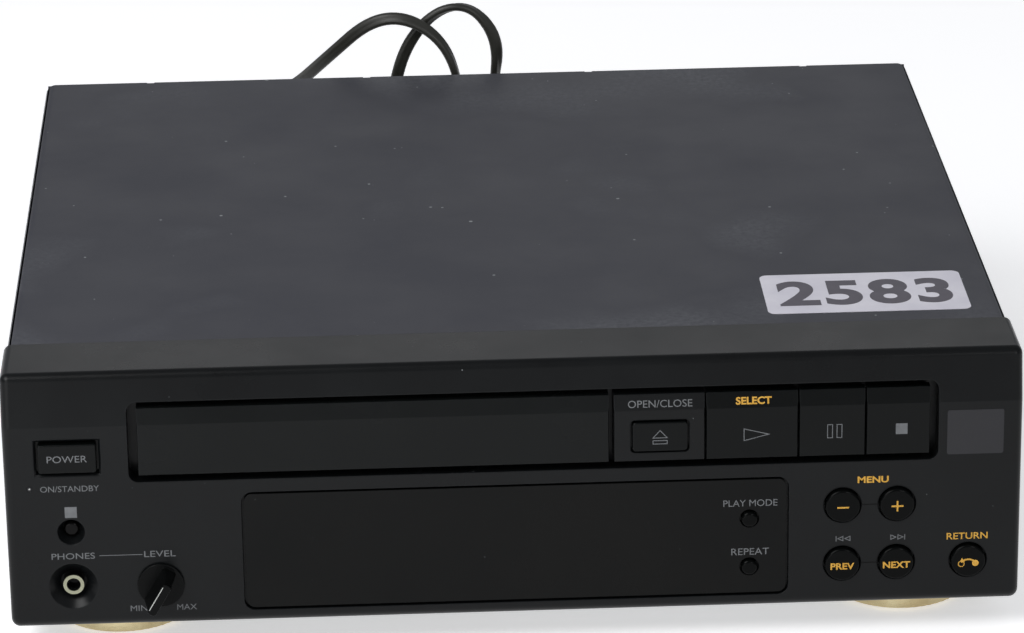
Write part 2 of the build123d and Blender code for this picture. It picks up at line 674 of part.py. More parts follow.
# Level control, its shaft and knob
with BuildPart() as level_control:
    peg(LEVEL_X, (9.0, BOARD_DEPTH), LEVEL_H, 8.0)
    peg(LEVEL_X, (0.6, 9.5), LEVEL_H, BUSH_R)
    peg(LEVEL_X, (-1, 16.5), LEVEL_H, SHAFT_R + RUNNING, Mode.SUBTRACT)
level_control.part.label = "level_control"
export_step(level_control.part, "parts/level_control.step")
with BuildPart() as level_knob:
    peg(LEVEL_X, (-KNOB_T - KNOB_GAP, -KNOB_GAP), LEVEL_H, KNOB_R)
    fillet(level_knob.edges().group_by(Axis.Y)[0], 0.4)
    with BuildSketch(behind(-KNOB_T)):
        with Locations(Location((LEVEL_X, LEVEL_H), -90 - POINTER_ANGLE)):
            with Locations((GRIP_SHIFT, 0)):
                RectangleRounded(*GRIP_BASE, GRIP_CORNER)
    with BuildSketch(behind(-KNOB_OUT)):
        with Locations(Location((LEVEL_X, LEVEL_H), -90 - POINTER_ANGLE)):
            with Locations((GRIP_SHIFT, 0)):
                RectangleRounded(*GRIP_TOP, GRIP_CORNER)
    loft()
    fillet(level_knob.edges().group_by(Axis.Y)[0], 0.3)
    peg(LEVEL_X, (-KNOB_GAP - 0.5, 16.2), LEVEL_H, SHAFT_R)
level_knob.part.label = "level_knob"
export_step(level_knob.part, "parts/level_knob.step")

# Front board, cut away where the tray comes through, with its switches and remote receiver
board_back = BOARD_DEPTH + BOARD_T
switch_places = [*ROUND_PLACES.values(), *DOME_PLACES.values(), *key_middles]
switch_places += [(POWER_X, POWER_H), (OPEN_X, OPEN_H)]
with BuildPart() as front_board:
    block((-173.5, 173.5), (BOARD_DEPTH, board_back), (4.6, 51.5))
    block((36.5, 173.5), (BOARD_DEPTH, board_back), (50.0, 88.0))
    block((-173.5, -136.5), (BOARD_DEPTH, board_back), (50.0, 88.0))
    for x, height in switch_places:
        block(
            (x - SWITCH_SIZE / 2, x + SWITCH_SIZE / 2),
            (BOARD_DEPTH - SWITCH_T, BOARD_DEPTH),
            (height - SWITCH_SIZE / 2, height + SWITCH_SIZE / 2),
        )
        peg(x, (BOARD_DEPTH - SWITCH_T - PLUNGER_T, BOARD_DEPTH - SWITCH_T), height, PLUNGER_R)
    block((LENS_X - 5, LENS_X + 5), (9.3, BOARD_DEPTH), (LENS_H - 5, LENS_H + 5))
    block((56, 80), (board_back, board_back + 6), (22, 28))
    for x, height in BOSS_PLACES:
        peg(x, (BOARD_DEPTH - 1, board_back + 1), height, SCREW_HOLE_R, Mode.SUBTRACT)
front_board.part.label = "front_board"
export_step(front_board.part, "parts/front_board.step")

# Display tube
with BuildPart() as display_tube:
    block((-75, 65), (BOARD_DEPTH - SEAM - TUBE_T, BOARD_DEPTH - SEAM), (12, 43))
    fillet(display_tube.edges().filter_by(Axis.Y), 1.5)
display_tube.part.label = "display_tube"
export_step(display_tube.part, "parts/display_tube.step")

# Chassis pan
pan_top = PAN_H + SHEET
side_depths = (90, 250)
side_screw_h = 12
main_stands = [(-160, 224), (-160, 312), (-40, 224), (-40, 312), (82, 224), (82, 312)]
decoder_stands = [(50, 58), (50, 197), (160, 58), (160, 197)]
loader_stands = [(LID_MIDDLE + x, d) for x in (-66, 66) for d in (32, 198)]
with BuildPart() as chassis:
    block((-PAN_W / 2 + 0.8, PAN_W / 2 - 0.8), (6, 41), (PAN_H, pan_top))
    block((-PAN_W / 2, PAN_W / 2), (40, PANEL_BACK - SHEET), (PAN_H, pan_top))
    for side in (-1, 1):
        inner, outer = sorted((side * (PAN_W / 2 - SHEET), side * PAN_W / 2))
        block((inner, outer), (44, PANEL_BACK - SHEET - 1), (PAN_H, PAN_H + PAN_FLANGE_H))
    for x, depth in main_stands + decoder_stands:
        post(x, depth, (PAN_H, BOARD_H), STAND_R)
    for x, depth in loader_stands:
        post(x, depth, (PAN_H, FRAME_LOW), STAND_R + 1)
    for x, depth in main_stands + decoder_stands:
        post(x, depth, (PAN_H + 1.2, BOARD_H + 1), SCREW_HOLE_R, Mode.SUBTRACT)
    for x, depth in loader_stands:
        post(x, depth, (PAN_H + 4, FRAME_LOW + 1), SCREW_HOLE_R, Mode.SUBTRACT)
    for x in (-FOOT_X, FOOT_X):
        for depth in FOOT_DEPTHS:
            post(x, depth, (PAN_H - 1, pan_top + 1), SCREW_HOLE_R, Mode.SUBTRACT)
    for x in edge_screws:
        for depth in (bezel_screw_depth, panel_screw_depth):
            post(x, depth, (PAN_H - 1, pan_top + 1), SCREW_HOLE_R, Mode.SUBTRACT)
    for side in (-1, 1):
        post(CORE_X + side * CORE_FOOT, CORE_DEPTH, (PAN_H - 1, pan_top + 1), SCREW_HOLE_R, Mode.SUBTRACT)
    # Rows of air slots
    with BuildSketch(level(PAN_H - 1)):
        for x, depth in [(20, 262), (-100, 120), (110, 130)]:
            with Locations((x, depth)):
                with GridLocations(7, 0, 9, 1):
                    SlotOverall(34, 3, rotation=90)
    extrude(amount=SHEET + 2, mode=Mode.SUBTRACT)
    for side in (-1, 1):
        flange = sorted((side * (PAN_W / 2 - 3), side * (PAN_W / 2 + 2)))
        for depth in side_depths:
            cross_peg(flange, depth, side_screw_h, SCREW_HOLE_R, Mode.SUBTRACT)
chassis.part.label = "chassis"
export_step(chassis.part, "parts/chassis.step")

# Feet
foot_places = [(x, depth) for x in (-FOOT_X, FOOT_X) for depth in FOOT_DEPTHS]
foot_top = PAN_H
foot_floor = -FOOT_GAP
with BuildPart() as foot_bodies:
    for x, depth in foot_places:
        post(x, depth, (foot_floor + PAD_T, foot_top), FOOT_R)
        post(x, depth, (foot_floor + RING_HIGH + SEAM, foot_top), FOOT_FLANGE_R)
        post(x, depth, (foot_floor, foot_top + 1), SCREW_HOLE_R, Mode.SUBTRACT)
        post(x, depth, (foot_floor, foot_top - 3), SCREW_HEAD_R + 1.5, Mode.SUBTRACT)
foot_bodies.part.label = "foot_bodies"
export_step(foot_bodies.part, "parts/foot_bodies.step")
with BuildPart() as foot_rings:
    for x, depth in foot_places:
        post(x, depth, (foot_floor + RING_LOW, foot_floor + RING_HIGH), RING_R)
    chamfer(foot_rings.edges().group_by(Axis.Z)[-1], 1.2)
    fillet(foot_rings.edges().group_by(Axis.Z)[0], 0.8)
    for x, depth in foot_places:
        post(x, depth, (foot_floor, foot_floor + RING_HIGH + 1), FOOT_R + 0.15, Mode.SUBTRACT)
foot_rings.part.label = "foot_rings"
export_step(foot_rings.part, "parts/foot_rings.step")
with BuildPart() as foot_pads:
    for x, depth in foot_places:
        post(x, depth, (foot_floor, foot_floor + PAD_T), PAD_R)
        post(x, depth, (foot_floor - 1, foot_floor + PAD_T + 1), PAD_HOLE_R, Mode.SUBTRACT)
foot_pads.part.label = "foot_pads"
export_step(foot_pads.part, "parts/foot_pads.step")

# Top cover
lip_screws = [-150.0, 0.0, 150.0]
with BuildPart() as top_cover:
    cover_low, cover_front = PAN_H + 0.2, BAND_DEPTH + SEAM
    with BuildSketch(behind(BODY_DEPTH)):
        with Locations((0, (cover_low + COVER_TOP) / 2)):
            Rectangle(2 * COVER_HALF, COVER_TOP - cover_low)
    extrude(amount=BODY_DEPTH - cover_front)
    fillet(top_cover.edges().filter_by(Axis.Y).group_by(Axis.Z)[-1], COVER_BEND)
    fillet(top_cover.edges().group_by(Axis.Y)[-1].filter_by(Axis.X).group_by(Axis.Z)[-1], 1.2)
    with BuildSketch(behind(BODY_DEPTH + 1)):
        with Locations((0, (cover_low + COVER_TOP) / 2 - COVER_T)):
            Rectangle(2 * (COVER_HALF - COVER_T), COVER_TOP - cover_low)
    extrude(amount=BODY_DEPTH - cover_front + 2, mode=Mode.SUBTRACT)
    lip_half = COVER_HALF - COVER_T
    block((-lip_half, lip_half), (BODY_DEPTH - COVER_T, BODY_DEPTH), (86, COVER_TOP - COVER_T))
    notch_depth, notch_h = (BODY_DEPTH - 1.8, BODY_DEPTH + 1), (COVER_TOP - 3, COVER_TOP + 1)
    for x in (-134.0, -45.5, 45.5, 134.0):
        block((x - 1.5, x + 1.5), notch_depth, notch_h, Mode.SUBTRACT)
    for x in lip_screws:
        peg(x, (BODY_DEPTH - 3, BODY_DEPTH + 1), LIP_SCREW_H, SCREW_HOLE_R, Mode.SUBTRACT)
    for side in (-1, 1):
        wall = sorted((side * (COVER_HALF - 3), side * (COVER_HALF + 2)))
        for depth in side_depths:
            cross_peg(wall, depth, side_screw_h, SCREW_HOLE_R, Mode.SUBTRACT)
top_cover.part.label = "top_cover"
export_step(top_cover.part, "parts/top_cover.step")

# Rear panel
switch_way = (SWITCH_X - 4.4, SWITCH_X + 4.4)
with BuildPart() as rear_panel:
    panel_front = PANEL_BACK - SHEET
    block((-PAN_W / 2, PAN_W / 2), (panel_front, PANEL_BACK), (PAN_H, COVER_TOP - COVER_T - SEAM))
    block((-PAN_W / 2 + 2, PAN_W / 2 - 2), (panel_front - 9, panel_front + 0.5), (pan_top, pan_top + SHEET))
    for x in RCA_PLACES:
        peg(x, (panel_front - 1, PANEL_BACK + 1), RCA_H, RCA_BOSS_R + SEAM, Mode.SUBTRACT)
    peg(EXIT_X, (panel_front - 1, PANEL_BACK + 1), EXIT_H, RELIEF_HOLE_R, Mode.SUBTRACT)
    block(switch_way, (panel_front - 1, PANEL_BACK + 1), (SWITCH_H - 1.6, SWITCH_H + 1.6), Mode.SUBTRACT)
    for x in lip_screws:
        peg(x, (panel_front - 1, PANEL_BACK + 1), LIP_SCREW_H, SCREW_HOLE_R, Mode.SUBTRACT)
    peg(RCA_SCREW_X, (panel_front - 1, PANEL_BACK + 1), RCA_H, SCREW_HOLE_R, Mode.SUBTRACT)
    for x in edge_screws:
        post(x, panel_screw_depth, (pan_top - 1, pan_top + SHEET + 1), SCREW_HOLE_R, Mode.SUBTRACT)
    with BuildSketch(behind(panel_front + 2)):
        with Locations((110, 62)):
            with GridLocations(6, 0, 14, 1):
                SlotOverall(30, 2.6, rotation=90)
    extrude(amount=4, mode=Mode.SUBTRACT)
rear_panel.part.label = "rear_panel"
export_step(rear_panel.part, "parts/rear_panel.step")

# Disc tray with its rack
mid = LID_MIDDLE
gear_x = mid + GEAR_X_OFFSET
pinion_r = LOAD_MODULE * PINION_TEETH / 2
rack_pitch_x = gear_x - pinion_r
rack_start = GEAR_DEPTH - 2 * math.pi * LOAD_MODULE
rack_teeth = math.ceil((TRAY_TRAVEL + 12) / (math.pi * LOAD_MODULE))
with BuildPart() as disc_tray:
    block((mid - TRAY_HALF, mid + TRAY_HALF), (TRAY_FRONT, TRAY_BACK), (TRAY_LOW, TRAY_HIGH))
    block((mid - RUNNER_HALF, mid + RUNNER_HALF), (TRAY_FRONT, TRAY_BACK), (TRAY_LOW, TRAY_LOW + RUNNER_T))
    post(mid, DISC_DEPTH, (DISC_FLOOR, TRAY_HIGH + 1), DISC_R, Mode.SUBTRACT)
    post(mid, DISC_DEPTH, (SMALL_DISC_FLOOR, TRAY_HIGH + 1), SMALL_DISC_R, Mode.SUBTRACT)
    slot = (mid - TRAY_SLOT_HALF, mid + TRAY_SLOT_HALF)
    block(slot, (DISC_DEPTH, TRAY_BACK + 1), (TRAY_LOW - 1, TRAY_HIGH + 1), Mode.SUBTRACT)
    post(mid, DISC_DEPTH, (TRAY_LOW - 1, TRAY_HIGH + 1), TRAY_SLOT_HALF, Mode.SUBTRACT)
    for left, right in [(26, 44), (-66, -26)]:
        block((mid + left, mid + right), (140, TRAY_BACK - 3), (TRAY_LOW - 1, TRAY_HIGH - 2), Mode.SUBTRACT)
    with BuildSketch(level(TRAY_LOW - RACK_T)):
        with BuildLine():
            rack_back = rack_pitch_x - RACK_T
            Polyline(rack_points(LOAD_MODULE, rack_pitch_x, rack_start, rack_teeth, rack_back), close=True)
        make_face()
    extrude(amount=RACK_T + 0.5)
disc_tray.part.label = "disc_tray"
export_step(disc_tray.part, "parts/disc_tray.step")

# Loading frame: walls with rails for the tray, a shelf for the gears, brackets for the lift frame
frame_in = FRAME_HALF - FRAME_WALL
floor_top = FRAME_LOW + FRAME_FLOOR_T
small_depth = GEAR_DEPTH + TRAIN_MODULE * (WHEEL_TEETH + SMALL_TEETH) / 2
cam_back = LIFT_FRONT - 2.4
cam_front = cam_back - CAM_T
beam_top = CAM_LOW - SEAM
bridge_posts = [(LID_MIDDLE + x, d) for x in (-77.8, 77.8) for d in (60, 88)]
motor_screws = [(gear_x - MOTOR_SCREWS, MOTOR_DEPTH), (gear_x + MOTOR_SCREWS, MOTOR_DEPTH)]
with BuildPart() as loading_frame:
    block((mid - FRAME_HALF, mid + FRAME_HALF), (FRAME_FRONT, FRAME_BACK), (FRAME_LOW, FRAME_HIGH))
    inner = (mid - frame_in, mid + frame_in)
    block(inner, (FRAME_FRONT - 1, FRAME_BACK - FRAME_WALL), (floor_top, FRAME_HIGH + 1), Mode.SUBTRACT)
    block((mid - 40, mid + 40), (62, 160), (FRAME_LOW - 1, floor_top + 1), Mode.SUBTRACT)
    for side in (-1, 1):
        ledge = sorted((mid + side * 70.0, mid + side * (frame_in + 0.1)))
        block(ledge, (FRAME_FRONT, FRAME_BACK - 1), (TRAY_LOW - SEAM - 2.4, TRAY_LOW - SEAM))
        lip = sorted((mid + side * (TRAY_HALF + 0.4), mid + side * (frame_in + 0.1)))
        lip_low = TRAY_LOW + RUNNER_T + SEAM
        block(lip, (FRAME_FRONT, FRAME_BACK - 1), (lip_low, lip_low + 2))
        bracket = sorted((mid + side * (LIFT_HALF + 2), mid + side * (LIFT_HALF + 8)))
        block(bracket, (PIVOT_DEPTH - 7, PIVOT_DEPTH + 7), (floor_top - 1, PIVOT_H + 5))
        cross_peg(bracket, PIVOT_DEPTH, PIVOT_H, PIVOT_R + RUNNING, Mode.SUBTRACT)
    beam = (mid - 68, mid + 46)
    block(beam, (cam_front - 1.8, cam_back + 1.8), (floor_top - 1, beam_top))
    for lip_depth in [(cam_front - 1.8, cam_front - SEAM), (cam_back + SEAM, cam_back + 1.8)]:
        block(beam, lip_depth, (beam_top - 1, beam_top + 1.8))
    block((mid + LIFT_HALF + 3, mid + frame_in + 0.1), (26, 97), (SHELF_H, SHELF_H + 2))
    post(gear_x, GEAR_DEPTH, (SHELF_H + 1, TRAY_LOW - 0.6), AXLE_R)
    post(gear_x, small_depth, (SHELF_H + 1, WHEEL_HIGH + 0.3), AXLE_R)
    post(gear_x, MOTOR_DEPTH, (SHELF_H - 1, SHELF_H + 3), 3.4, Mode.SUBTRACT)
    for x, depth in loader_stands:
        post(x, depth, (FRAME_LOW - 1, floor_top + 1), SCREW_HOLE_R, Mode.SUBTRACT)
    for x, depth in motor_screws:
        post(x, depth, (SHELF_H - 1, SHELF_H + 3), SCREW_HOLE_R, Mode.SUBTRACT)
    for x, depth in bridge_posts:
        post(x, depth, (FRAME_HIGH - 14, FRAME_HIGH), STAND_R + 0.2)
        post(x, depth, (FRAME_HIGH - 10, FRAME_HIGH + 1), SCREW_HOLE_R, Mode.SUBTRACT)
loading_frame.part.label = "loading_frame"
export_step(loading_frame.part, "parts/loading_frame.step")

# Clamp bridge over the tray, and the pulley that presses the disc down
with BuildPart() as clamp_bridge:
    bridge_top = FRAME_HIGH + BRIDGE_T
    block((mid - FRAME_HALF - 5.6, mid + FRAME_HALF + 5.6), (52, 96), (FRAME_HIGH, bridge_top))
    for depth in (52, 95):
        block((mid - 60, mid + 60), (depth, depth + 1), (bridge_top - 0.5, bridge_top + 3.5))
    post(mid, DISC_DEPTH, (FRAME_HIGH - 1, bridge_top + 1), BRIDGE_HOLE_R, Mode.SUBTRACT)
    for x, depth in bridge_posts:
        post(x, depth, (FRAME_HIGH - 1, bridge_top + 1), SCREW_HOLE_R, Mode.SUBTRACT)
clamp_bridge.part.label = "clamp_bridge"
export_step(clamp_bridge.part, "parts/clamp_bridge.step")
with BuildPart() as chucking_pulley:
    pulley_low = TABLE_HIGH + 1.4
    post(mid, DISC_DEPTH, (pulley_low, bridge_top + 1), PULLEY_HUB_R)
    post(mid, DISC_DEPTH, (bridge_top + SEAM, bridge_top + 1.8), PULLEY_FLANGE_R)
    post(mid, DISC_DEPTH, (pulley_low - 1, pulley_low + 2.4), CONE_R + 0.8, Mode.SUBTRACT)
chucking_pulley.part.label = "chucking_pulley"
export_step(chucking_pulley.part, "parts/chucking_pulley.step")

# Loading train: drive gear, pulley gear, belt, motor pulley, motor
shelf_top = SHELF_H + 2
with BuildPart() as drive_gear:
    pinion_turn = math.pi + math.pi / PINION_TEETH
    add(spur(gear_x, GEAR_DEPTH, (PINION_LOW, PINION_HIGH), LOAD_MODULE, PINION_TEETH, pinion_turn))
    add(spur(gear_x, GEAR_DEPTH, (WHEEL_LOW, WHEEL_HIGH), TRAIN_MODULE, WHEEL_TEETH, math.pi / 2))
    post(gear_x, GEAR_DEPTH, (shelf_top + SEAM, PINION_LOW + 0.5), AXLE_R + 1.5)
    post(gear_x, GEAR_DEPTH, (SHELF_H, TRAY_LOW), AXLE_R + RUNNING, Mode.SUBTRACT)
drive_gear.part.label = "drive_gear"
export_step(drive_gear.part, "parts/drive_gear.step")

belt_h = (PULLEY_LOW + PULLEY_HIGH) / 2
groove = (belt_h - BELT_HALF - SEAM, belt_h + BELT_HALF + SEAM)
groove_sink = BELT_SINK + BELT_HALF + SEAM


def grooved(x, depth, radius):
    """A belt pulley: two rims with a narrower core between them."""
    post(x, depth, (PULLEY_LOW, groove[0]), radius)
    post(x, depth, (PULLEY_LOW, PULLEY_HIGH), radius - groove_sink)
    post(x, depth, (groove[1], PULLEY_HIGH), radius)


with BuildPart() as pulley_gear:
    small_turn = -math.pi / 2 + math.pi / SMALL_TEETH
    grooved(gear_x, small_depth, PULLEY_R)
    add(spur(gear_x, small_depth, (PULLEY_HIGH - 0.5, WHEEL_HIGH), TRAIN_MODULE, SMALL_TEETH, small_turn))
    post(gear_x, small_depth, (shelf_top + SEAM, PULLEY_LOW + 0.5), AXLE_R + 1.5)
    post(gear_x, small_depth, (SHELF_H, TRAY_LOW), AXLE_R + RUNNING, Mode.SUBTRACT)
pulley_gear.part.label = "pulley_gear"
export_step(pulley_gear.part, "parts/pulley_gear.step")
with BuildPart() as motor_pulley:
    grooved(gear_x, MOTOR_DEPTH, MOTOR_PULLEY_R)
    post(gear_x, MOTOR_DEPTH, (MOTOR_LOW + 6, PULLEY_HIGH), SPINDLE_R)
motor_pulley.part.label = "motor_pulley"
export_step(motor_pulley.part, "parts/motor_pulley.step")
with BuildPart() as loading_belt:
    for grow, mode in [(BELT_HALF, Mode.ADD), (-BELT_HALF, Mode.SUBTRACT)]:
        with BuildSketch(level(belt_h - BELT_HALF)):
            with BuildLine():
                CenterArc((gear_x, small_depth), PULLEY_R - BELT_SINK + grow, 0, 360)
                CenterArc((gear_x, MOTOR_DEPTH), MOTOR_PULLEY_R - BELT_SINK + grow, 0, 360)
            make_hull()
        extrude(amount=2 * BELT_HALF, mode=mode)
loading_belt.part.label = "loading_belt"
export_step(loading_belt.part, "parts/loading_belt.step")
with BuildPart() as loading_motor:
    post(gear_x, MOTOR_DEPTH, (MOTOR_LOW, SHELF_H - 0.3), MOTOR_R)
    chamfer(loading_motor.edges().group_by(Axis.Z)[0], 1.0)
    post(gear_x, MOTOR_DEPTH, (SHELF_H - 1, SHELF_H + 1), 3.0)
    post(gear_x, MOTOR_DEPTH, (MOTOR_LOW + 5, SHELF_H + 2), SPINDLE_R + RUNNING, Mode.SUBTRACT)
    for x, depth in motor_screws:
        post(x, depth, (MOTOR_LOW + 12, SHELF_H + 1), SCREW_HOLE_R, Mode.SUBTRACT)
loading_motor.part.label = "loading_motor"
export_step(loading_motor.part, "parts/loading_motor.step")

# Lift frame: hinged at the back, its front pin in the cam slider
lift_in = LIFT_HALF - LIFT_WALL
damper_low = LIFT_HIGH - DAMPER_T
with BuildPart() as lift_frame:
    block((mid - LIFT_HALF, mid + LIFT_HALF), (LIFT_FRONT, LIFT_BACK), (LIFT_LOW, LIFT_HIGH))
    lift_way = (LIFT_FRONT + LIFT_WALL, LIFT_BACK - LIFT_WALL)
    block((mid - lift_in, mid + lift_in), lift_way, (LIFT_LOW - 1, LIFT_HIGH + 1), Mode.SUBTRACT)
    for x, depth in DAMPER_PLACES:
        pad_x = sorted((mid + x - math.copysign(5, x), mid + math.copysign(lift_in + 0.5, x)))
        pad_depth = (LIFT_FRONT + 3, depth + 5) if depth < DISC_DEPTH else (depth - 5, LIFT_BACK - 3)
        block(pad_x, pad_depth, (LIFT_LOW, damper_low))
        post(mid + x, depth, (damper_low - 1, LIFT_HIGH + BASE_T), 1.4)
    for side in (-1, 1):
        pin = sorted((mid + side * (LIFT_HALF - 1), mid + side * (LIFT_HALF + 8.5)))
        cross_peg(pin, PIVOT_DEPTH, PIVOT_H, PIVOT_R)
    peg(mid, (cam_front - 0.6, LIFT_FRONT + 1), PIVOT_H, CAM_PIN_R)
lift_frame.part.label = "lift_frame"
export_step(lift_frame.part, "parts/lift_frame.step")
with BuildPart() as rubber_dampers:
    for x, depth in DAMPER_PLACES:
        post(mid + x, depth, (damper_low, damper_low + 1.6), DAMPER_R)
        post(mid + x, depth, (damper_low, LIFT_HIGH), DAMPER_R - 0.8)
        post(mid + x, depth, (LIFT_HIGH - 1.6, LIFT_HIGH), DAMPER_R)
        post(mid + x, depth, (damper_low - 1, LIFT_HIGH + 1), 1.6, Mode.SUBTRACT)
rubber_dampers.part.label = "rubber_dampers"
export_step(rubber_dampers.part, "parts/rubber_dampers.step")

# Cam slider that raises and lowers the lift frame's front
with BuildPart() as cam_slider:
    block((mid - 40, mid + 28), (cam_front, cam_back), (CAM_LOW, CAM_HIGH))
    pin_drop = (PIVOT_DEPTH - (cam_front + cam_back) / 2) * math.tan(math.radians(LIFT_ANGLE))
    slope = math.degrees(math.atan2(-pin_drop, CAM_TRAVEL))
    with BuildSketch(behind(cam_back + 1)):
        with Locations((mid + CAM_TRAVEL / 2, PIVOT_H - pin_drop / 2)):
            SlotCenterToCenter(math.hypot(CAM_TRAVEL, pin_drop) + 1.2, 2 * CAM_PIN_R + 0.7, rotation=slope)
    extrude(amount=CAM_T + 2, mode=Mode.SUBTRACT)
cam_slider.part.label = "cam_slider"
export_step(cam_slider.part, "parts/cam_slider.step")

# Optical base
base_top = LIFT_HIGH + BASE_T
sled_gear_x = mid + SLED_PITCH_X + SLED_MODULE * SLED_PINION_TEETH / 2
sled_motor_depth = SLED_GEAR_DEPTH + SLED_WHEEL_MODULE * (SLED_WHEEL_TEETH + SLED_MOTOR_TEETH) / 2
rail_x = mid + RAIL_OFFSET
rail_ends = [(82, 86), (157, 161)]
ears = [(9.5, 0), (0, 10.5)]
with BuildPart() as optical_base:
    base_depth = (LIFT_FRONT + 6.5, LIFT_BACK - 6.5)
    block((mid - BASE_HALF, mid + BASE_HALF), base_depth, (LIFT_HIGH, base_top))
    block((mid - 27, mid + 24), (86.5, 158), (LIFT_HIGH - 1, base_top + 1), Mode.SUBTRACT)
    post(mid, DISC_DEPTH, (LIFT_HIGH - 1, base_top + 1), 9, Mode.SUBTRACT)
    for x, depth in DAMPER_PLACES:
        post(mid + x, depth, (LIFT_HIGH - 1, base_top + 1), 1.6, Mode.SUBTRACT)
    for ends in rail_ends:
        block((rail_x - 3.5, rail_x + 3.5), ends, (RAIL_H - 3, LIFT_HIGH + 0.5))
        peg(rail_x, (ends[0] - 1, ends[1] + 1), RAIL_H, RAIL_R + 0.02, Mode.SUBTRACT)
    post(sled_gear_x, SLED_GEAR_DEPTH, (LIFT_LOW, LIFT_HIGH + 0.5), SLED_AXLE_R)
    for x, depth in ears:
        post(sled_gear_x + x, sled_motor_depth + depth, (SLED_LOW - 0.8, LIFT_HIGH + 0.5), 1.6)
optical_base.part.label = "optical_base"
export_step(optical_base.part, "parts/optical_base.step")
with BuildPart() as spindle_motor:
    post(mid, DISC_DEPTH, (LIFT_LOW, LIFT_HIGH), SPINDLE_MOTOR_R)
    chamfer(spindle_motor.edges().group_by(Axis.Z)[0], 0.8)
    post(mid, DISC_DEPTH, (LIFT_LOW + 0.7, LIFT_HIGH + 1), SPINDLE_R + RUNNING, Mode.SUBTRACT)
spindle_motor.part.label = "spindle_motor"
export_step(spindle_motor.part, "parts/spindle_motor.step")
with BuildPart() as turntable:
    post(mid, DISC_DEPTH, (TABLE_LOW, TABLE_HIGH), TABLE_R)
    with Locations(at(mid, DISC_DEPTH, TABLE_HIGH + CONE_H / 2)):
        Cone(CONE_R, CONE_TOP_R, CONE_H)
    post(mid, DISC_DEPTH, (base_top + 2, TABLE_LOW), 5.0)
    post(mid, DISC_DEPTH, (LIFT_LOW + 1, base_top + 3), SPINDLE_R)
turntable.part.label = "turntable"
export_step(turntable.part, "parts/turntable.step")

# Optical pickup on its guide shaft, with the gears and motor that move it
pickup_back = PICKUP_FRONT + PICKUP_LENGTH
lens_depth = PICKUP_FRONT + 10
with BuildPart() as optical_pickup:
    block((mid - 26, mid + 20), (PICKUP_FRONT, pickup_back), (50, 62))
    block((mid - 16, mid + 10), (PICKUP_FRONT + 20, pickup_back - 2), (49, 57), Mode.SUBTRACT)
    block((mid + 19, mid + 27), (PICKUP_FRONT + 12, PICKUP_FRONT + 20), (base_top + 0.4, 60.4))
    peg(rail_x, (PICKUP_FRONT - 1, pickup_back + 1), RAIL_H, RAIL_R + RUNNING, Mode.SUBTRACT)
    block((mid - 7, mid + 7), (lens_depth - 7, lens_depth + 7), (61.5, 64.5))
    with Locations(at(mid, lens_depth, 63.9)):
        Sphere(3.6)
    rack_first = SLED_GEAR_DEPTH - 19 * math.pi * SLED_MODULE
    sled_rack_x = mid + SLED_PITCH_X
    with BuildSketch(level(SLED_RACK_LOW)):
        with BuildLine():
            Polyline(rack_points(SLED_MODULE, sled_rack_x, rack_first, 22, sled_rack_x - 2.5), close=True)
        make_face()
    extrude(amount=SLED_RACK_HIGH - SLED_RACK_LOW)
optical_pickup.part.label = "optical_pickup"
export_step(optical_pickup.part, "parts/optical_pickup.step")
with BuildPart() as guide_shaft:
    peg(rail_x, (rail_ends[0][0], rail_ends[1][1]), RAIL_H, RAIL_R)
guide_shaft.part.label = "guide_shaft"
export_step(guide_shaft.part, "parts/guide_shaft.step")
with BuildPart() as sled_gear:
    turn = math.pi + math.pi / SLED_PINION_TEETH
    high = (SLED_HIGH, SLED_RACK_HIGH + 0.2)
    add(spur(sled_gear_x, SLED_GEAR_DEPTH, high, SLED_MODULE, SLED_PINION_TEETH, turn))
    low = (SLED_LOW, SLED_HIGH + 0.5)
    add(spur(sled_gear_x, SLED_GEAR_DEPTH, low, SLED_WHEEL_MODULE, SLED_WHEEL_TEETH, math.pi / 2))
    post(sled_gear_x, SLED_GEAR_DEPTH, (LIFT_LOW, LIFT_HIGH), SLED_AXLE_R + RUNNING, Mode.SUBTRACT)
sled_gear.part.label = "sled_gear"
export_step(sled_gear.part, "parts/sled_gear.step")
with BuildPart() as sled_motor:
    post(sled_gear_x, sled_motor_depth, (33, SLED_LOW - 1), SLED_MOTOR_R)
    for x, depth in ears:
        block(
            (sled_gear_x - 4, sled_gear_x + 4 + x * 0.75),
            (sled_motor_depth - 4, sled_motor_depth + 4 + depth * 0.9),
            (SLED_LOW - 1.8, SLED_LOW - 0.8),
        )
    post(sled_gear_x, sled_motor_depth, (39, SLED_LOW), SLED_SHAFT_R + RUNNING, Mode.SUBTRACT)
sled_motor.part.label = "sled_motor"
export_step(sled_motor.part, "parts/sled_motor.step")
with BuildPart() as sled_pinion:
    turn = -math.pi / 2 + math.pi / SLED_MOTOR_TEETH
    reach = (SLED_LOW, SLED_HIGH)
    add(spur(sled_gear_x, sled_motor_depth, reach, SLED_WHEEL_MODULE, SLED_MOTOR_TEETH, turn))
    post(sled_gear_x, sled_motor_depth, (40, SLED_LOW + 1), SLED_SHAFT_R)
sled_pinion.part.label = "sled_pinion"
export_step(sled_pinion.part, "parts/sled_pinion.step")

# Main board with the parts soldered to it
board_top = BOARD_H + BOARD_T


def chip(x, depth, wide, deep, tall):
    """A flat component on a board, its middle at x and depth."""
    block((x - wide / 2, x + wide / 2), (depth - deep / 2, depth + deep / 2), (board_top, board_top + tall))


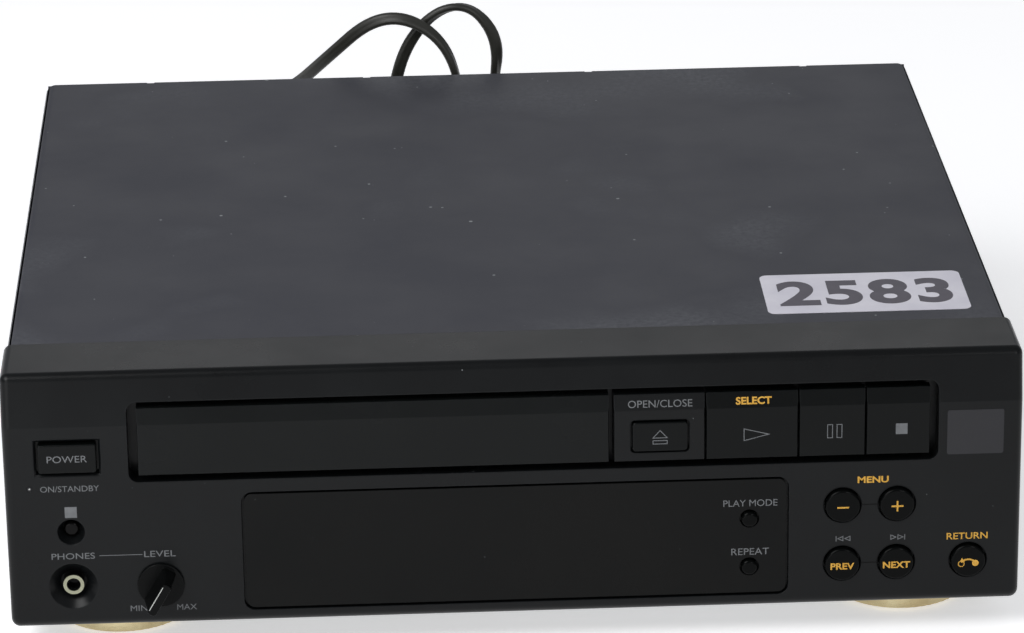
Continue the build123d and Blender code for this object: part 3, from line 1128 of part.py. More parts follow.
with BuildPart() as main_board:
    block((-PAN_W / 2 + BOARD_INSET, 90), (216, 322), (BOARD_H, board_top))
    for x, depth, size, tall in [(-60, 250, 28, 2.4), (10, 262, 20, 2.2), (-112, 250, 16, 3.6)]:
        chip(x, depth, size, size, tall)
    for x, depth in [(58, 288), (58, 304), (42, 296), (26, 304)]:
        post(x, depth, (board_top, board_top + 20), 6.5)
    for x, depth in [(-150, 236), (-150, 250), (-136, 236), (32, 238), (44, 238), (-90, 282), (-78, 282)]:
        post(x, depth, (board_top, board_top + 11), 4)
    block((-30, 14), (300, 303), (board_top, board_top + 26))
    for fin in range(6):
        left = -29 + fin * 8.2
        block((left, left + 1.6), (302, 316), (board_top, board_top + 26))
    block((56, 78), (220, 220 + CONNECTOR_T), (board_top, board_top + CONNECTOR_T))
    block((84, 89.5), (257, 269), (board_top, board_top + CONNECTOR_T))
    block((EXIT_X - 8, EXIT_X + 8), (292, 302), (board_top, board_top + 10))
    block((SWITCH_X - 8, SWITCH_X + 8), (314, panel_front - SEAM), (board_top, board_top + 9))
    block((SWITCH_X - 4.4, SWITCH_X + 4.4), (318, 329), (SWITCH_H - 1.6, SWITCH_H + 1.6), Mode.SUBTRACT)
    for x, depth in main_stands:
        post(x, depth, (BOARD_H - 1, board_top + 1), SCREW_HOLE_R, Mode.SUBTRACT)
main_board.part.label = "main_board"
export_step(main_board.part, "parts/main_board.step")
with BuildPart() as system_switch:
    block((SWITCH_X - 4, SWITCH_X), (318.4, PANEL_BACK + 2), (SWITCH_H - 1.3, SWITCH_H + 1.3))
system_switch.part.label = "system_switch"
export_step(system_switch.part, "parts/system_switch.step")
with BuildPart() as output_sockets:
    socket_x = (RCA_PLACES[0] - 8, RCA_PLACES[-1] + 8)
    block(socket_x, (316, panel_front), (board_top, RCA_H + 7))
    for x in RCA_PLACES:
        peg(x, (panel_front - 1, PANEL_BACK + RCA_BOSS_OUT), RCA_H, RCA_BOSS_R)
        peg(x, (panel_front - 1, PANEL_BACK + SOCKET_OUT), RCA_H, RCA_R)
        peg(x, (panel_front - 5, PANEL_BACK + SOCKET_OUT + 1), RCA_H, RCA_BORE_R, Mode.SUBTRACT)
    peg(RCA_SCREW_X, (panel_front - 9, panel_front + 1), RCA_H, SCREW_HOLE_R, Mode.SUBTRACT)
output_sockets.part.label = "output_sockets"
export_step(output_sockets.part, "parts/output_sockets.step")

# Decoder board
with BuildPart() as decoder_board:
    block((42, 168), (50, 205), (BOARD_H, board_top))
    chip(105, 120, 30, 30, 3.2)
    chip(140, 112, 20, 20, 2.4)
    for depth in (110, 134, 158):
        chip(70, depth, 8, 18, 3)
    for x, depth in [(142, 150), (142, 164), (152, 84), (130, 84)]:
        post(x, depth, (board_top, board_top + 11), 4)
    block((96, 108), (80, 85), (board_top, board_top + 3.6))
    block((56, 80), (54, 54 + CONNECTOR_T), (board_top, board_top + CONNECTOR_T))
    block((56, 78), (197, 203), (board_top, board_top + CONNECTOR_T))
    for x, depth in decoder_stands:
        post(x, depth, (BOARD_H - 1, board_top + 1), SCREW_HOLE_R, Mode.SUBTRACT)
decoder_board.part.label = "decoder_board"
export_step(decoder_board.part, "parts/decoder_board.step")

# Mains transformer
with BuildPart() as power_transformer:
    foot = (CORE_X - CORE_FOOT - 4, CORE_X + CORE_FOOT + 4)
    block(foot, (CORE_DEPTH - 13, CORE_DEPTH + 13), (pan_top, pan_top + 1.5))
    core_x = (CORE_X - CORE_W / 2, CORE_X + CORE_W / 2)
    block(core_x, (CORE_DEPTH - CORE_T / 2, CORE_DEPTH + CORE_T / 2), (pan_top, pan_top + CORE_TALL))
    with Locations(at(CORE_X, CORE_DEPTH, pan_top + CORE_TALL / 2)):
        Box(COIL_W, COIL_T, COIL_TALL)
    coil = power_transformer.edges().filter_by(Axis.Z).filter_by(
        lambda e: abs(abs(e.center().Y - FRONT_Y - CORE_DEPTH) - COIL_T / 2) < 0.01
    )
    fillet(coil, 2)
    for side in (-1, 1):
        hole = (pan_top - 1, pan_top + 3)
        post(CORE_X + side * CORE_FOOT, CORE_DEPTH, hole, SCREW_HOLE_R, Mode.SUBTRACT)
power_transformer.part.label = "power_transformer"
export_step(power_transformer.part, "parts/power_transformer.step")


def ribbon(x, path):
    """A flat cable of one width along x that follows (depth, height) points."""
    upper = [(FRONT_Y + d, FOOT_GAP + h + CABLE_T / 2) for d, h in path]
    lower = [(FRONT_Y + d, FOOT_GAP + h - CABLE_T / 2) for d, h in reversed(path)]
    with BuildPart() as cable:
        with BuildSketch(Plane.YZ.offset(x[0])):
            with BuildLine():
                Polyline(upper + lower, close=True)
            make_face()
        extrude(amount=x[1] - x[0])
    return cable.part


def wire(points, radius):
    """A round wire through points given as (x, depth, height), its corners rounded."""
    places = [at(*p) for p in points]
    with BuildPart() as lead:
        with BuildLine():
            FilletPolyline(*places, radius=3)
        heading = Vector(*places[1]) - Vector(*places[0])
        with BuildSketch(Plane(origin=places[0], z_dir=heading)):
            Circle(radius)
        sweep()
    return lead.part


# Cables between the boards
with BuildPart() as flat_cables:
    plug_h = board_top + CONNECTOR_T / 2
    add(ribbon((58, 78), [(board_back + CONNECTOR_T, 25), (40, 25), (48, plug_h), (54, plug_h)]))
    add(ribbon((58, 76), [(203, plug_h), (208, 22), (214, 22), (220, plug_h)]))
    for depth in (260.5, 263, 265.5):
        add(wire([(89.5, depth, plug_h), (100, depth, plug_h), (108, depth, 25), (119, depth, 25)], 0.9))
    add(wire([(EXIT_X, 302, 19), (EXIT_X, 309, 19), (EXIT_X, 311, EXIT_H), (EXIT_X, 320, EXIT_H)], 2.0))
flat_cables.part.label = "flat_cables"
export_step(flat_cables.part, "parts/flat_cables.step")


def screw(x, depth, height, turn):
    """One pan-head screw, its head's underside at the place given, turned from head up."""
    with Locations(Location(at(x, depth, height), turn)):
        with Locations((0, 0, SCREW_HEAD_T / 2)):
            Cylinder(SCREW_HEAD_R, SCREW_HEAD_T)
        with Locations((0, 0, -SCREW_LENGTH / 2)):
            Cylinder(SCREW_R, SCREW_LENGTH)


# Screws: all of one kind, from above, from below, from behind and from the sides
with BuildPart() as screws:
    down = (0, 0, 0)
    up = (180, 0, 0)
    forward = (-90, 0, 0)
    for x, depth in main_stands + decoder_stands:
        screw(x, depth, board_top, down)
    for x, depth in loader_stands:
        screw(x, depth, floor_top, down)
    for x, depth in bridge_posts:
        screw(x, depth, bridge_top, down)
    for x, depth in motor_screws:
        screw(x, depth, shelf_top, down)
    for side in (-1, 1):
        screw(CORE_X + side * CORE_FOOT, CORE_DEPTH, pan_top + 1.5, down)
        for depth in side_depths:
            screw(side * COVER_HALF, depth, side_screw_h, (0, side * 90, 0))
    for x, depth in foot_places:
        screw(x, depth, foot_top - 3, up)
    for x in edge_screws:
        screw(x, bezel_screw_depth, 0, up)
        screw(x, panel_screw_depth, PAN_H, up)
    for x, height in BOSS_PLACES:
        screw(x, board_back, height, forward)
    for x in lip_screws:
        screw(x, BODY_DEPTH, LIP_SCREW_H, forward)
    screw(RCA_SCREW_X, PANEL_BACK, RCA_H, forward)
screws.part.label = "screws"
export_step(screws.part, "parts/screws.step")

# Mains lead: strain relief, lead and plug
relief_end = PANEL_BACK + RELIEF_REACH
with BuildPart() as strain_relief:
    peg(EXIT_X, (panel_front - 6, PANEL_BACK + 1), EXIT_H, RELIEF_HOLE_R - 0.1)
    peg(EXIT_X, (PANEL_BACK, PANEL_BACK + 2.4), EXIT_H, RELIEF_FLANGE_R)
    with Locations(Location(at(EXIT_X, (PANEL_BACK + 2 + relief_end) / 2, EXIT_H), (-90, 0, 0))):
        Cone(RELIEF_HOLE_R - 0.5, RELIEF_TIP_R, relief_end - PANEL_BACK - 2)
strain_relief.part.label = "strain_relief"
export_step(strain_relief.part, "parts/strain_relief.step")


def floor_spot(x, depth, above_floor):
    """A point of the lead, given by its height above the floor."""
    return at(x, depth, above_floor - FOOT_GAP)


def coil_spot(step):
    """A point of the coil, which winds in on the floor, climbs as it turns back and winds out again."""
    turns = step / TURN_POINTS - LAYER_TURNS
    angle = 2 * math.pi * step / TURN_POINTS - math.pi / 2
    radius = COIL_INNER + COIL_PITCH * abs(turns)
    climb = COIL_RISE * min(1, max(0, 0.5 + 2 * turns))
    across, along = radius * math.cos(angle), radius * math.sin(angle)
    return floor_spot(COIL_X + across, COIL_DEPTH + along, CORD_FLOOR + climb)


def corner_radii(points):
    """A radius for each corner of a route, as large as its two runs have room for."""
    spots = [Vector(*p) for p in points]
    radii = []
    for before, here, after in zip(spots, spots[1:], spots[2:]):
        turn = (here - before).get_angle(after - here)
        room = CORD_PULL * min((here - before).length, (after - here).length)
        radii.append(room / math.tan(math.radians(turn) / 2))
    return radii


def lead_path(points):
    """The middle line of the lead, straight runs joined by tangent arcs."""
    return FilletPolyline(*points, radius=corner_radii(points))


def lead_plane(points):
    """The plane at a route's first point, square to its first run."""
    return Plane(origin=points[0], z_dir=Vector(*points[1]) - Vector(*points[0]))


def least_gap(line, samples):
    """The least gap between stretches of a tube that lie apart along it, on points of its middle line."""
    spots = [tuple(line @ (i / samples)) for i in range(samples + 1)]
    apart = math.ceil(3 * CORD_W / (line.length / samples))
    return min(math.dist(a, b) for i, a in enumerate(spots) for b in spots[i + apart :]) - CORD_W


tail_depth = COIL_DEPTH + COIL_OUTER
free_route = [at(EXIT_X, relief_end, EXIT_H)] + [floor_spot(*spot) for spot in CORD_ROUTE]
coil_route = [free_route[-1]] + [coil_spot(step) for step in range(round(2 * LAYER_TURNS * TURN_POINTS) + 1)]
for reach in (TAIL_BEND, TAIL_LENGTH):
    coil_route.append(floor_spot(COIL_X - reach, tail_depth, PLUG_AXIS))

with BuildPart() as power_cord:
    with BuildLine() as free_line:
        lead_path(free_route)
    with BuildSketch(lead_plane(free_route)):
        Circle(CORD_W / 2)
    sweep()
power_cord.part.label = "power_cord"
export_step(power_cord.part, "parts/power_cord.step")

with BuildPart() as lead_coil:
    with BuildLine() as coil_line:
        lead_path(coil_route)
    with BuildSketch(lead_plane(coil_route)):
        Circle(CORD_W / 2)
    sweep()
lead_coil.part.label = "lead_coil"
export_step(lead_coil.part, "parts/lead_coil.step")

gap = least_gap(coil_line.wires()[0], 900)
for stretch, line in (("free", free_line), ("coiled", coil_line)):
    print("lead,", stretch, "length:", round(line.wires()[0].length), "mm")
print("least radius of the free lead:", round(min(corner_radii(free_route)), 1), "mm")
print("least gap of the coil to itself:", round(gap, 2), "mm, over", LEAST_GAP, "mm:", gap > LEAST_GAP)

with BuildPart() as power_plug:
    plug_x, plug_depth, plug_h = COIL_X - TAIL_LENGTH, tail_depth, PLUG_AXIS - FOOT_GAP
    neck = PLUG_LENGTH / 3
    cross_peg((plug_x - neck - 1, plug_x), plug_depth, plug_h, CORD_W)
    body_x = (plug_x - PLUG_LENGTH, plug_x - neck)
    with Locations(at(sum(body_x) / 2, plug_depth, plug_h)):
        Box(body_x[1] - body_x[0], PLUG_W, PLUG_T)
    corners = power_plug.edges().filter_by(Axis.X).filter_by(
        lambda e: abs(abs(e.center().Y - FRONT_Y - plug_depth) - PLUG_W / 2) < 0.01
    )
    fillet(corners, PLUG_T / 2 - 1.5)
    for side in (-1, 1):
        pin_depth = plug_depth + side * PIN_SPACING / 2
        cross_peg((body_x[0] - PIN_LENGTH, body_x[0] + 1), pin_depth, plug_h, PIN_R)
power_plug.part.label = "power_plug"
export_step(power_plug.part, "parts/power_plug.step")
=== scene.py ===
"""Dresses the disc player in a plain studio: finishes, printed words, label, sockets, mains lead.

Places are given as (x, depth, height) in millimetres: x from the middle of the front, depth behind
its flat face, height above its bottom edge. at() turns them into metres in the shared frame.
"""

import logging
import math
from dataclasses import dataclass, field, replace
from enum import Enum
from functools import reduce
from typing import Callable, Iterable, Optional, Sequence

import bpy
from mathutils import Matrix, Vector


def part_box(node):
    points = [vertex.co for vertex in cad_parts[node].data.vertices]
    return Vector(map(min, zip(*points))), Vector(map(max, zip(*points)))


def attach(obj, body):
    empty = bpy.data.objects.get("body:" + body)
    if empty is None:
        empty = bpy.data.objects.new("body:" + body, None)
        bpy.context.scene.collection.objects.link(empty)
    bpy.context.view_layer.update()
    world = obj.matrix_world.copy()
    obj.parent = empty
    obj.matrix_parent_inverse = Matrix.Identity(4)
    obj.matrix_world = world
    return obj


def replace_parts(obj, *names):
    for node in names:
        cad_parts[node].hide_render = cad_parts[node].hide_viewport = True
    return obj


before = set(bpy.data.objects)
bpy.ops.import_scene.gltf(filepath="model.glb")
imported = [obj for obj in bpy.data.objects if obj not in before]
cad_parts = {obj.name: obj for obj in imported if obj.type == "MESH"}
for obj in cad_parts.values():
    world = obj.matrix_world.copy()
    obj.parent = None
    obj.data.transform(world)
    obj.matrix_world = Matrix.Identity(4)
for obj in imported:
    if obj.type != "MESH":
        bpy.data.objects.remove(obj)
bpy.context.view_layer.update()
LOG = logging.getLogger("disc_player")

MM = 0.001
FRONT_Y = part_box("front_bezel")[0].y
BASE_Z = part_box("front_bezel")[0].z
FORWARDS = Matrix.Rotation(math.radians(90), 4, "X")
BACKWARDS = Matrix.Rotation(math.radians(-90), 4, "X")
# Above this height the front leans back, by this much for each millimetre.
FOLD_H = 76.0
FOLD_LEAN = 3.5 / 18.5
PRINT_T = 0.03
TYPE_EXTRUDE = 0.01
LEGEND_STEPS = 4
COAT_ROUGH = 0.12
BEVEL_SAMPLES = 4
# How far the paler edges reach. They show wear and also a painted highlight.
EDGE_REACH = 0.0006
EDGE_BREAK_SCALE = 260.0
SPECK_PATCH_SCALE = 90.0
SPECK_TONE = "84888a"
SMUDGE_SCALE = 9.0
SMUDGE_FINE_SCALE = 420.0
SMUDGE_TONE = "8a8d90"

Colour = tuple[float, float, float]
Spot = tuple[float, float, float]
Outline = list[tuple[float, float]]
Piece = bpy.types.Object
Node = bpy.types.Node
Socket = bpy.types.NodeSocket


def at(x: float, depth: float, height: float) -> Vector:
    """Turn a place on the player, in millimetres, into metres in the shared frame."""
    return Vector((x * MM, FRONT_Y + depth * MM, BASE_Z + height * MM))


def tone(code: str) -> Colour:
    """Turn a screen colour such as 2a2d2e into the linear colour that a shader takes."""
    steps = [int(code[i:i + 2], 16) / 255 for i in (0, 2, 4)]
    return tuple(s / 12.92 if s <= 0.04045 else ((s + 0.055) / 1.055) ** 2.4 for s in steps)


class Wiring:
    """A node tree being wired, with short calls for the nodes that the finishes use."""

    def __init__(self, tree: bpy.types.NodeTree) -> None:
        """Start wiring in a node tree."""
        self.tree = tree

    def add(self, kind: str, inputs: Optional[dict] = None, **settings: object) -> Node:
        """Add a node, store its values and link its sockets.

        Args:
            kind: The node's type without its leading "ShaderNode".
            inputs: Values or sockets by input name or number.
            settings: Properties of the node itself.

        Returns:
            The new node.
        """
        node = self.tree.nodes.new("ShaderNode" + kind)
        for name, value in settings.items():
            setattr(node, name, value)
        self.feed(node, inputs or {})
        return node

    def feed(self, node: Node, inputs: dict) -> None:
        """Link sockets to a node's inputs, or store plain values in them."""
        for name, value in inputs.items():
            socket = node.inputs[name]
            if isinstance(value, Socket):
                self.tree.links.new(value, socket)
            elif socket.type == "RGBA" and len(value) == 3:
                socket.default_value = (*value, 1.0)
            else:
                socket.default_value = value

    def math(self, operation: str, *values: object) -> Socket:
        """Give the result of a math node on one to three values or sockets."""
        return self.add("Math", dict(enumerate(values)), operation=operation).outputs[0]

    def mix(self, factor: object, first: object, second: object) -> Socket:
        """Give a blend of two colours, first at factor 0 and second at 1."""
        return self.add("Mix", {0: factor, 6: first, 7: second}, data_type="RGBA").outputs[2]

    def span(self, value: object, low: float, high: float, to_low: float = 0.0,
             to_high: float = 1.0) -> Socket:
        """Give a value stretched from one range to another and held within it."""
        names = ("Value", "From Min", "From Max", "To Min", "To Max")
        inputs = dict(zip(names, (value, low, high, to_low, to_high)))
        return self.add("MapRange", inputs).outputs[0]

    def vector(self, operation: str, first: object,
               second: object = (0.0, 0.0, 0.0)) -> Node:
        """Give a vector math node on one or two vectors or sockets."""
        return self.add("VectorMath", {0: first, 1: second}, operation=operation)

    def noise(self, vector: object, scale: object, detail: float, rough: float) -> Socket:
        """Give a noise value over the surface."""
        inputs = {"Vector": vector, "Scale": scale, "Detail": detail, "Roughness": rough}
        return self.add("TexNoise", inputs).outputs[0]

    def patches(self, vector: object, scale: object, detail: float, rough: float,
                low: float, high: float) -> Socket:
        """Give a noise value stretched from low to high and held from 0 to 1."""
        return self.span(self.noise(vector, scale, detail, rough), low, high)

    def product(self, *values: object) -> Socket:
        """Give the product of several values."""
        return reduce(lambda a, b: self.math("MULTIPLY", a, b), values)

    def place(self) -> Socket:
        """Give the Object coordinates."""
        return self.add("TexCoord").outputs["Object"]

    def stretched(self, scale: Spot) -> Socket:
        """Give the Object coordinates, each axis stretched by its own factor."""
        return self.add("Mapping", {"Vector": self.place(), "Scale": scale}).outputs[0]


class Effect(Enum):
    """A surface effect that several finishes share, as one node group."""

    GRAIN = "surface_grain"
    # Paler edges: rubbed wear, and also a painted highlight along ridges.
    WEAR = "edge_wear"
    SPECKS = "dust_specks"
    SMUDGE = "hand_smudges"


@dataclass
class EffectShelf:
    """Builds each shared node group once and places it where a finish asks for it."""

    built: dict[Effect, bpy.types.NodeTree] = field(default_factory=dict)

    def place(self, wiring: Wiring, effect: Effect, inputs: dict) -> Node:
        """Place an effect in a material, and make its node group at its first use."""
        if effect not in self.built:
            self.built[effect] = self.make(effect)
        return wiring.add("Group", inputs, node_tree=self.built[effect])

    def make(self, effect: Effect) -> bpy.types.NodeTree:
        """Make an effect's node group with its named inputs and outputs."""
        sockets = {
            Effect.GRAIN: (("Grain Scale", "Patch Scale"), ("Height", "Patch")),
            Effect.WEAR: (("Radius", "Amount"), ("Mask",)),
            Effect.SPECKS: (("Scale", "Size"), ("Mask",)),
            Effect.SMUDGE: (("Scale", "Amount"), ("Mask",)),
        }[effect]
        tree = bpy.data.node_groups.new(effect.value, "ShaderNodeTree")
        for names, side in zip(sockets, ("INPUT", "OUTPUT")):
            for name in names:
                tree.interface.new_socket(name=name, in_out=side, socket_type="NodeSocketFloat")
        wiring = Wiring(tree)
        entry = tree.nodes.new("NodeGroupInput").outputs
        exit_node = tree.nodes.new("NodeGroupOutput").inputs
        values = getattr(self, effect.name.lower())(wiring, entry)
        for name, value in zip(sockets[1], values):
            tree.links.new(value, exit_node[name])
        return tree

    @staticmethod
    def grain(wiring: Wiring, entry: Sequence) -> tuple:
        """Fine grain for bump, and wide soft patches for colour and sheen."""
        spot = wiring.place()
        height = wiring.noise(spot, entry["Grain Scale"], 3.0, 0.6)
        patch = wiring.patches(spot, entry["Patch Scale"], 4.0, 0.6, 0.35, 0.68)
        return height, patch

    @staticmethod
    def wear(wiring: Wiring, entry: Sequence) -> tuple:
        """Rubbed edges, with a painted edge highlight: where the rounded normal leaves the true
        one, broken up by noise.
        """
        soft = wiring.add("Bevel", {"Radius": entry["Radius"]}, samples=BEVEL_SAMPLES).outputs[0]
        true = wiring.add("NewGeometry").outputs["Normal"]
        edge = wiring.span(wiring.vector("DOT_PRODUCT", soft, true).outputs["Value"], 0.99, 0.80)
        broken = wiring.patches(wiring.place(), EDGE_BREAK_SCALE, 4.0, 0.7, 0.35, 0.7)
        return (wiring.product(edge, broken, entry["Amount"]),)

    @staticmethod
    def specks(wiring: Wiring, entry: Sequence) -> tuple:
        """Sparse pale specks of dust of uneven size."""
        spot = wiring.place()
        cell = wiring.add("TexVoronoi", {"Vector": spot, "Scale": entry["Scale"]})
        uneven = wiring.patches(spot, SPECK_PATCH_SCALE, 1.0, 0.5, 0.52, 0.75)
        size = wiring.product(uneven, entry["Size"])
        return (wiring.math("LESS_THAN", cell.outputs["Distance"], size),)

    @staticmethod
    def smudge(wiring: Wiring, entry: Sequence) -> tuple:
        """Soft whitish marks left by hands and cloths."""
        spot = wiring.place()
        wide = wiring.patches(spot, entry["Scale"], 3.0, 0.55, 0.54, 0.74)
        fine = wiring.patches(spot, SMUDGE_FINE_SCALE, 5.0, 0.75, 0.3, 0.75)
        return (wiring.product(wide, fine, entry["Amount"]),)


EFFECTS = EffectShelf()
MATERIALS: dict[str, bpy.types.Material] = {}


@dataclass(frozen=True)
class Finish:
    """A finish of one material: two close colours, a range of gloss, a grain, and its worn edges
    with their painted highlight.
    """

    name: str
    colour: str
    patch_colour: str
    rough: tuple[float, float] = (0.4, 0.55)
    grain_scale: float = 3000.0
    grain_depth: float = 0.00001
    patch_scale: float = 18.0
    metal: float = 0.0
    specular: float = 0.4
    coat: float = 0.0
    wear: float = 0.0
    wear_colour: str = "6c7076"
    specks: float = 0.0
    speck_scale: float = 210.0
    smudge: float = 0.0
    edge: float = 0.0

    def material(self) -> bpy.types.Material:
        """Give the finish's material, made at its first use."""
        if self.name in MATERIALS:
            return MATERIALS[self.name]
        made = MATERIALS[self.name] = bpy.data.materials.new(self.name)
        made.use_nodes = True
        made.node_tree.nodes.clear()
        wiring = Wiring(made.node_tree)
        shader = wiring.add("BsdfPrincipled", {
            "Metallic": self.metal, "Specular IOR Level": self.specular,
            "Coat Weight": self.coat, "Coat Roughness": COAT_ROUGH})
        wiring.add("OutputMaterial", {"Surface": shader.outputs[0]})
        self.dress(wiring, shader)
        return made

    def dress(self, wiring: Wiring, shader: bpy.types.Node) -> None:
        """Wire the colour, gloss and grain into the shader, over softly rounded edges."""
        scales = {"Grain Scale": self.grain_scale, "Patch Scale": self.patch_scale}
        grain = EFFECTS.place(wiring, Effect.GRAIN, scales).outputs
        colour = self.aged(wiring, self.body_colour(wiring, grain["Patch"]))
        rough = wiring.span(grain["Patch"], 0.0, 1.0, *self.rough)
        bump = wiring.add("Bump", {"Height": grain["Height"], "Distance": self.grain_depth})
        if self.edge:
            soft = wiring.add("Bevel", {"Radius": self.edge * MM}, samples=BEVEL_SAMPLES)
            wiring.feed(bump, {"Normal": soft.outputs[0]})
        self.join(wiring, shader, colour, rough, bump.outputs[0])

    def body_colour(self, wiring: Wiring, patch: Socket) -> Socket:
        """Give the clean colour: the two close colours, blended by the patches."""
        return wiring.mix(patch, tone(self.colour), tone(self.patch_colour))

    def aged(self, wiring: Wiring, colour: Socket) -> Socket:
        """Lay worn edges with their painted highlight, smudges and specks over the clean colour,
        where the finish has them.
        """
        layers = (
            (Effect.WEAR, {"Radius": EDGE_REACH, "Amount": self.wear}, self.wear_colour),
            (Effect.SMUDGE, {"Scale": SMUDGE_SCALE, "Amount": self.smudge}, SMUDGE_TONE),
            (Effect.SPECKS, {"Scale": self.speck_scale, "Size": self.specks}, SPECK_TONE),
        )
        for effect, inputs, over in layers:
            if all(inputs.values()):
                mask = EFFECTS.place(wiring, effect, inputs).outputs[0]
                colour = wiring.mix(mask, colour, tone(over))
        return colour

    @staticmethod
    def join(wiring: Wiring, shader: Node, colour: Socket, rough: Socket,
             normal: Socket) -> None:
        """Link the colour, the gloss and the normal into the shader."""
        wiring.feed(shader, {"Base Color": colour, "Roughness": rough, "Normal": normal})


@dataclass(frozen=True)
class BoardFinish(Finish):
    """Bare laminate with dark components: the colour goes by height above the board's face."""

    face_height: float = 13.6
    face_margin: float = 0.0001
    part_colour: str = "1d1e20"

    def body_colour(self, wiring: Wiring, patch: Socket) -> Socket:
        """Give laminate below the board's face and component colours above it."""
        laminate = super().body_colour(wiring, patch)
        height = wiring.add("SeparateXYZ", {0: wiring.place()}).outputs["Z"]
        face = BASE_Z + self.face_height * MM + self.face_margin
        above = wiring.math("GREATER_THAN", height, face)
        return wiring.mix(above, laminate, tone(self.part_colour))


@dataclass(frozen=True)
class RingFinish(Finish):
    """Gold metallized plastic, with fine level streaks round the feet."""

    patch_scale: float = 70.0
    streaks: Spot = (40.0, 40.0, 900.0)

    def dress(self, wiring: Wiring, shader: bpy.types.Node) -> None:
        """Wire streaks that lie level round a foot."""
        streak = wiring.noise(wiring.stretched(self.streaks), 3.0, 4.0, 0.65)
        patch = wiring.patches(wiring.place(), self.patch_scale, 3.0, 0.6, 0.35, 0.65)
        rough = wiring.span(streak, 0.3, 0.7, *self.rough)
        bump = wiring.add("Bump", {"Height": streak, "Distance": self.grain_depth})
        self.join(wiring, shader, self.body_colour(wiring, patch), rough, bump.outputs[0])


@dataclass(frozen=True)
class LampFinish(Finish):
    """The small standby lamp: a dark lens with a painted highlight, a pale spot in its middle."""

    highlight_x: float = -168.7
    highlight_height: float = 53.3
    highlight_r: float = 0.42
    highlight_colour: str = "d8dad6"

    def body_colour(self, wiring: Wiring, patch: Socket) -> Socket:
        """Give the dark lens with its painted highlight, the pale spot."""
        clean = super().body_colour(wiring, patch)
        # The pale spot is a painted highlight, fading out from the middle of the lens.
        centre = at(self.highlight_x, 0.0, self.highlight_height)
        off = wiring.vector("SUBTRACT", wiring.place(), centre).outputs[0]
        flat = wiring.vector("MULTIPLY", off, (1.0, 0.0, 1.0)).outputs[0]
        reach = wiring.vector("LENGTH", flat).outputs["Value"]
        return wiring.mix(wiring.span(reach, self.highlight_r * MM, 0.0), clean, tone(self.highlight_colour))


@dataclass(frozen=True)
class RibbonFinish(Finish):
    """White flat cable with the dark lines of its wires showing through."""

    wire_pitch: float = 0.00125
    wire_colour: str = "7e8084"

    def body_colour(self, wiring: Wiring, patch: Socket) -> Socket:
        """Give stripes across the cable's width."""
        clean = super().body_colour(wiring, patch)
        x = wiring.add("SeparateXYZ", {0: wiring.place()}).outputs["X"]
        wave = wiring.math("SINE", wiring.product(x, 2 * math.pi / self.wire_pitch))
        return wiring.mix(wiring.span(wave, 0.2, 0.8, 0.0, 0.55), clean, tone(self.wire_colour))


COVER_PAINT = Finish(
    "cover_paint", "2e2f37", "33343c", rough=(0.44, 0.54), grain_scale=2600.0,
    grain_depth=0.00002, specular=0.34, wear=0.35, wear_colour="55585c", specks=0.12,
    speck_scale=150.0, smudge=0.45,
)
# The bezel's paler edge colour also paints the highlight along its ridge.
BEZEL_PLASTIC = Finish(
    "bezel_plastic", "0b0c0d", "0f1112", rough=(0.26, 0.34), grain_scale=5200.0,
    grain_depth=0.000006, specular=0.17, wear=0.5, wear_colour="2d3034", specks=0.05,
    speck_scale=240.0, edge=0.6,
)
LID_PLASTIC = Finish(
    "lid_plastic", "0c0e0e", "101212", rough=(0.22, 0.3), grain_scale=5600.0,
    grain_depth=0.000004, specular=0.14, wear=0.4, wear_colour="34373a", edge=0.4,
)
KEY_PLASTIC = Finish(
    "key_plastic", "050707", "080a0a", rough=(0.18, 0.25), grain_scale=5600.0,
    grain_depth=0.000003, specular=0.13, wear=0.4, wear_colour="2c2f32", edge=0.4,
)
BUTTON_PLASTIC = Finish(
    "button_plastic", "040505", "070808", rough=(0.1, 0.16), grain_scale=5600.0,
    grain_depth=0.000002, specular=0.07, wear=0.3, wear_colour="303336",
)
KNOB_PLASTIC = Finish(
    "knob_plastic", "040505", "080909", rough=(0.2, 0.3), grain_scale=4800.0,
    grain_depth=0.000006, specular=0.08, edge=0.3,
)
TRAY_PLASTIC = Finish(
    "tray_plastic", "1a1b1d", "222426", rough=(0.45, 0.58), grain_scale=3800.0, specular=0.35,
    wear=0.25,
)
HIDDEN_PLASTIC = Finish("hidden_plastic", "151617", "1e1f21", rough=(0.5, 0.6), specular=0.35)
WINDOW_ACRYLIC = Finish(
    "window_acrylic", "070808", "0c0c0b", rough=(0.08, 0.13), grain_scale=900.0,
    grain_depth=0.000001, specular=0.12, specks=0.05, speck_scale=230.0, wear=0.2,
    wear_colour="2a2c2e", edge=0.3,
)
LENS_ACRYLIC = Finish(
    "lens_acrylic", "050505", "080707", rough=(0.03, 0.06), grain_scale=600.0,
    grain_depth=0.000001, specular=0.1,
)
DISPLAY_GLASS = Finish(
    "display_glass", "2a3230", "333b39", rough=(0.08, 0.12), specular=0.5, coat=0.5,
)
LAMP_LENS = LampFinish("lamp_lens", "17181a", "1c1d1f", rough=(0.2, 0.3), specular=0.3)
NICKEL = Finish(
    "nickel_plate", "a8a89a", "c0bfb2", rough=(0.24, 0.34), grain_scale=2400.0,
    grain_depth=0.000004, metal=1.0, specular=0.5,
)
SOCKET_NICKEL = Finish(
    "socket_nickel", "8f907c", "a9a993", rough=(0.34, 0.44), grain_scale=2400.0,
    grain_depth=0.000004, metal=0.9, specular=0.5,
)
BRIGHT_STEEL = Finish(
    "bright_steel", "8f9194", "a5a7aa", rough=(0.3, 0.42), grain_scale=1700.0, metal=1.0,
    specular=0.5, smudge=0.2,
)
ZINC_STEEL = Finish(
    "zinc_steel", "84878a", "9a9da0", rough=(0.36, 0.5), grain_scale=1300.0, metal=1.0,
    specular=0.5, smudge=0.3,
)
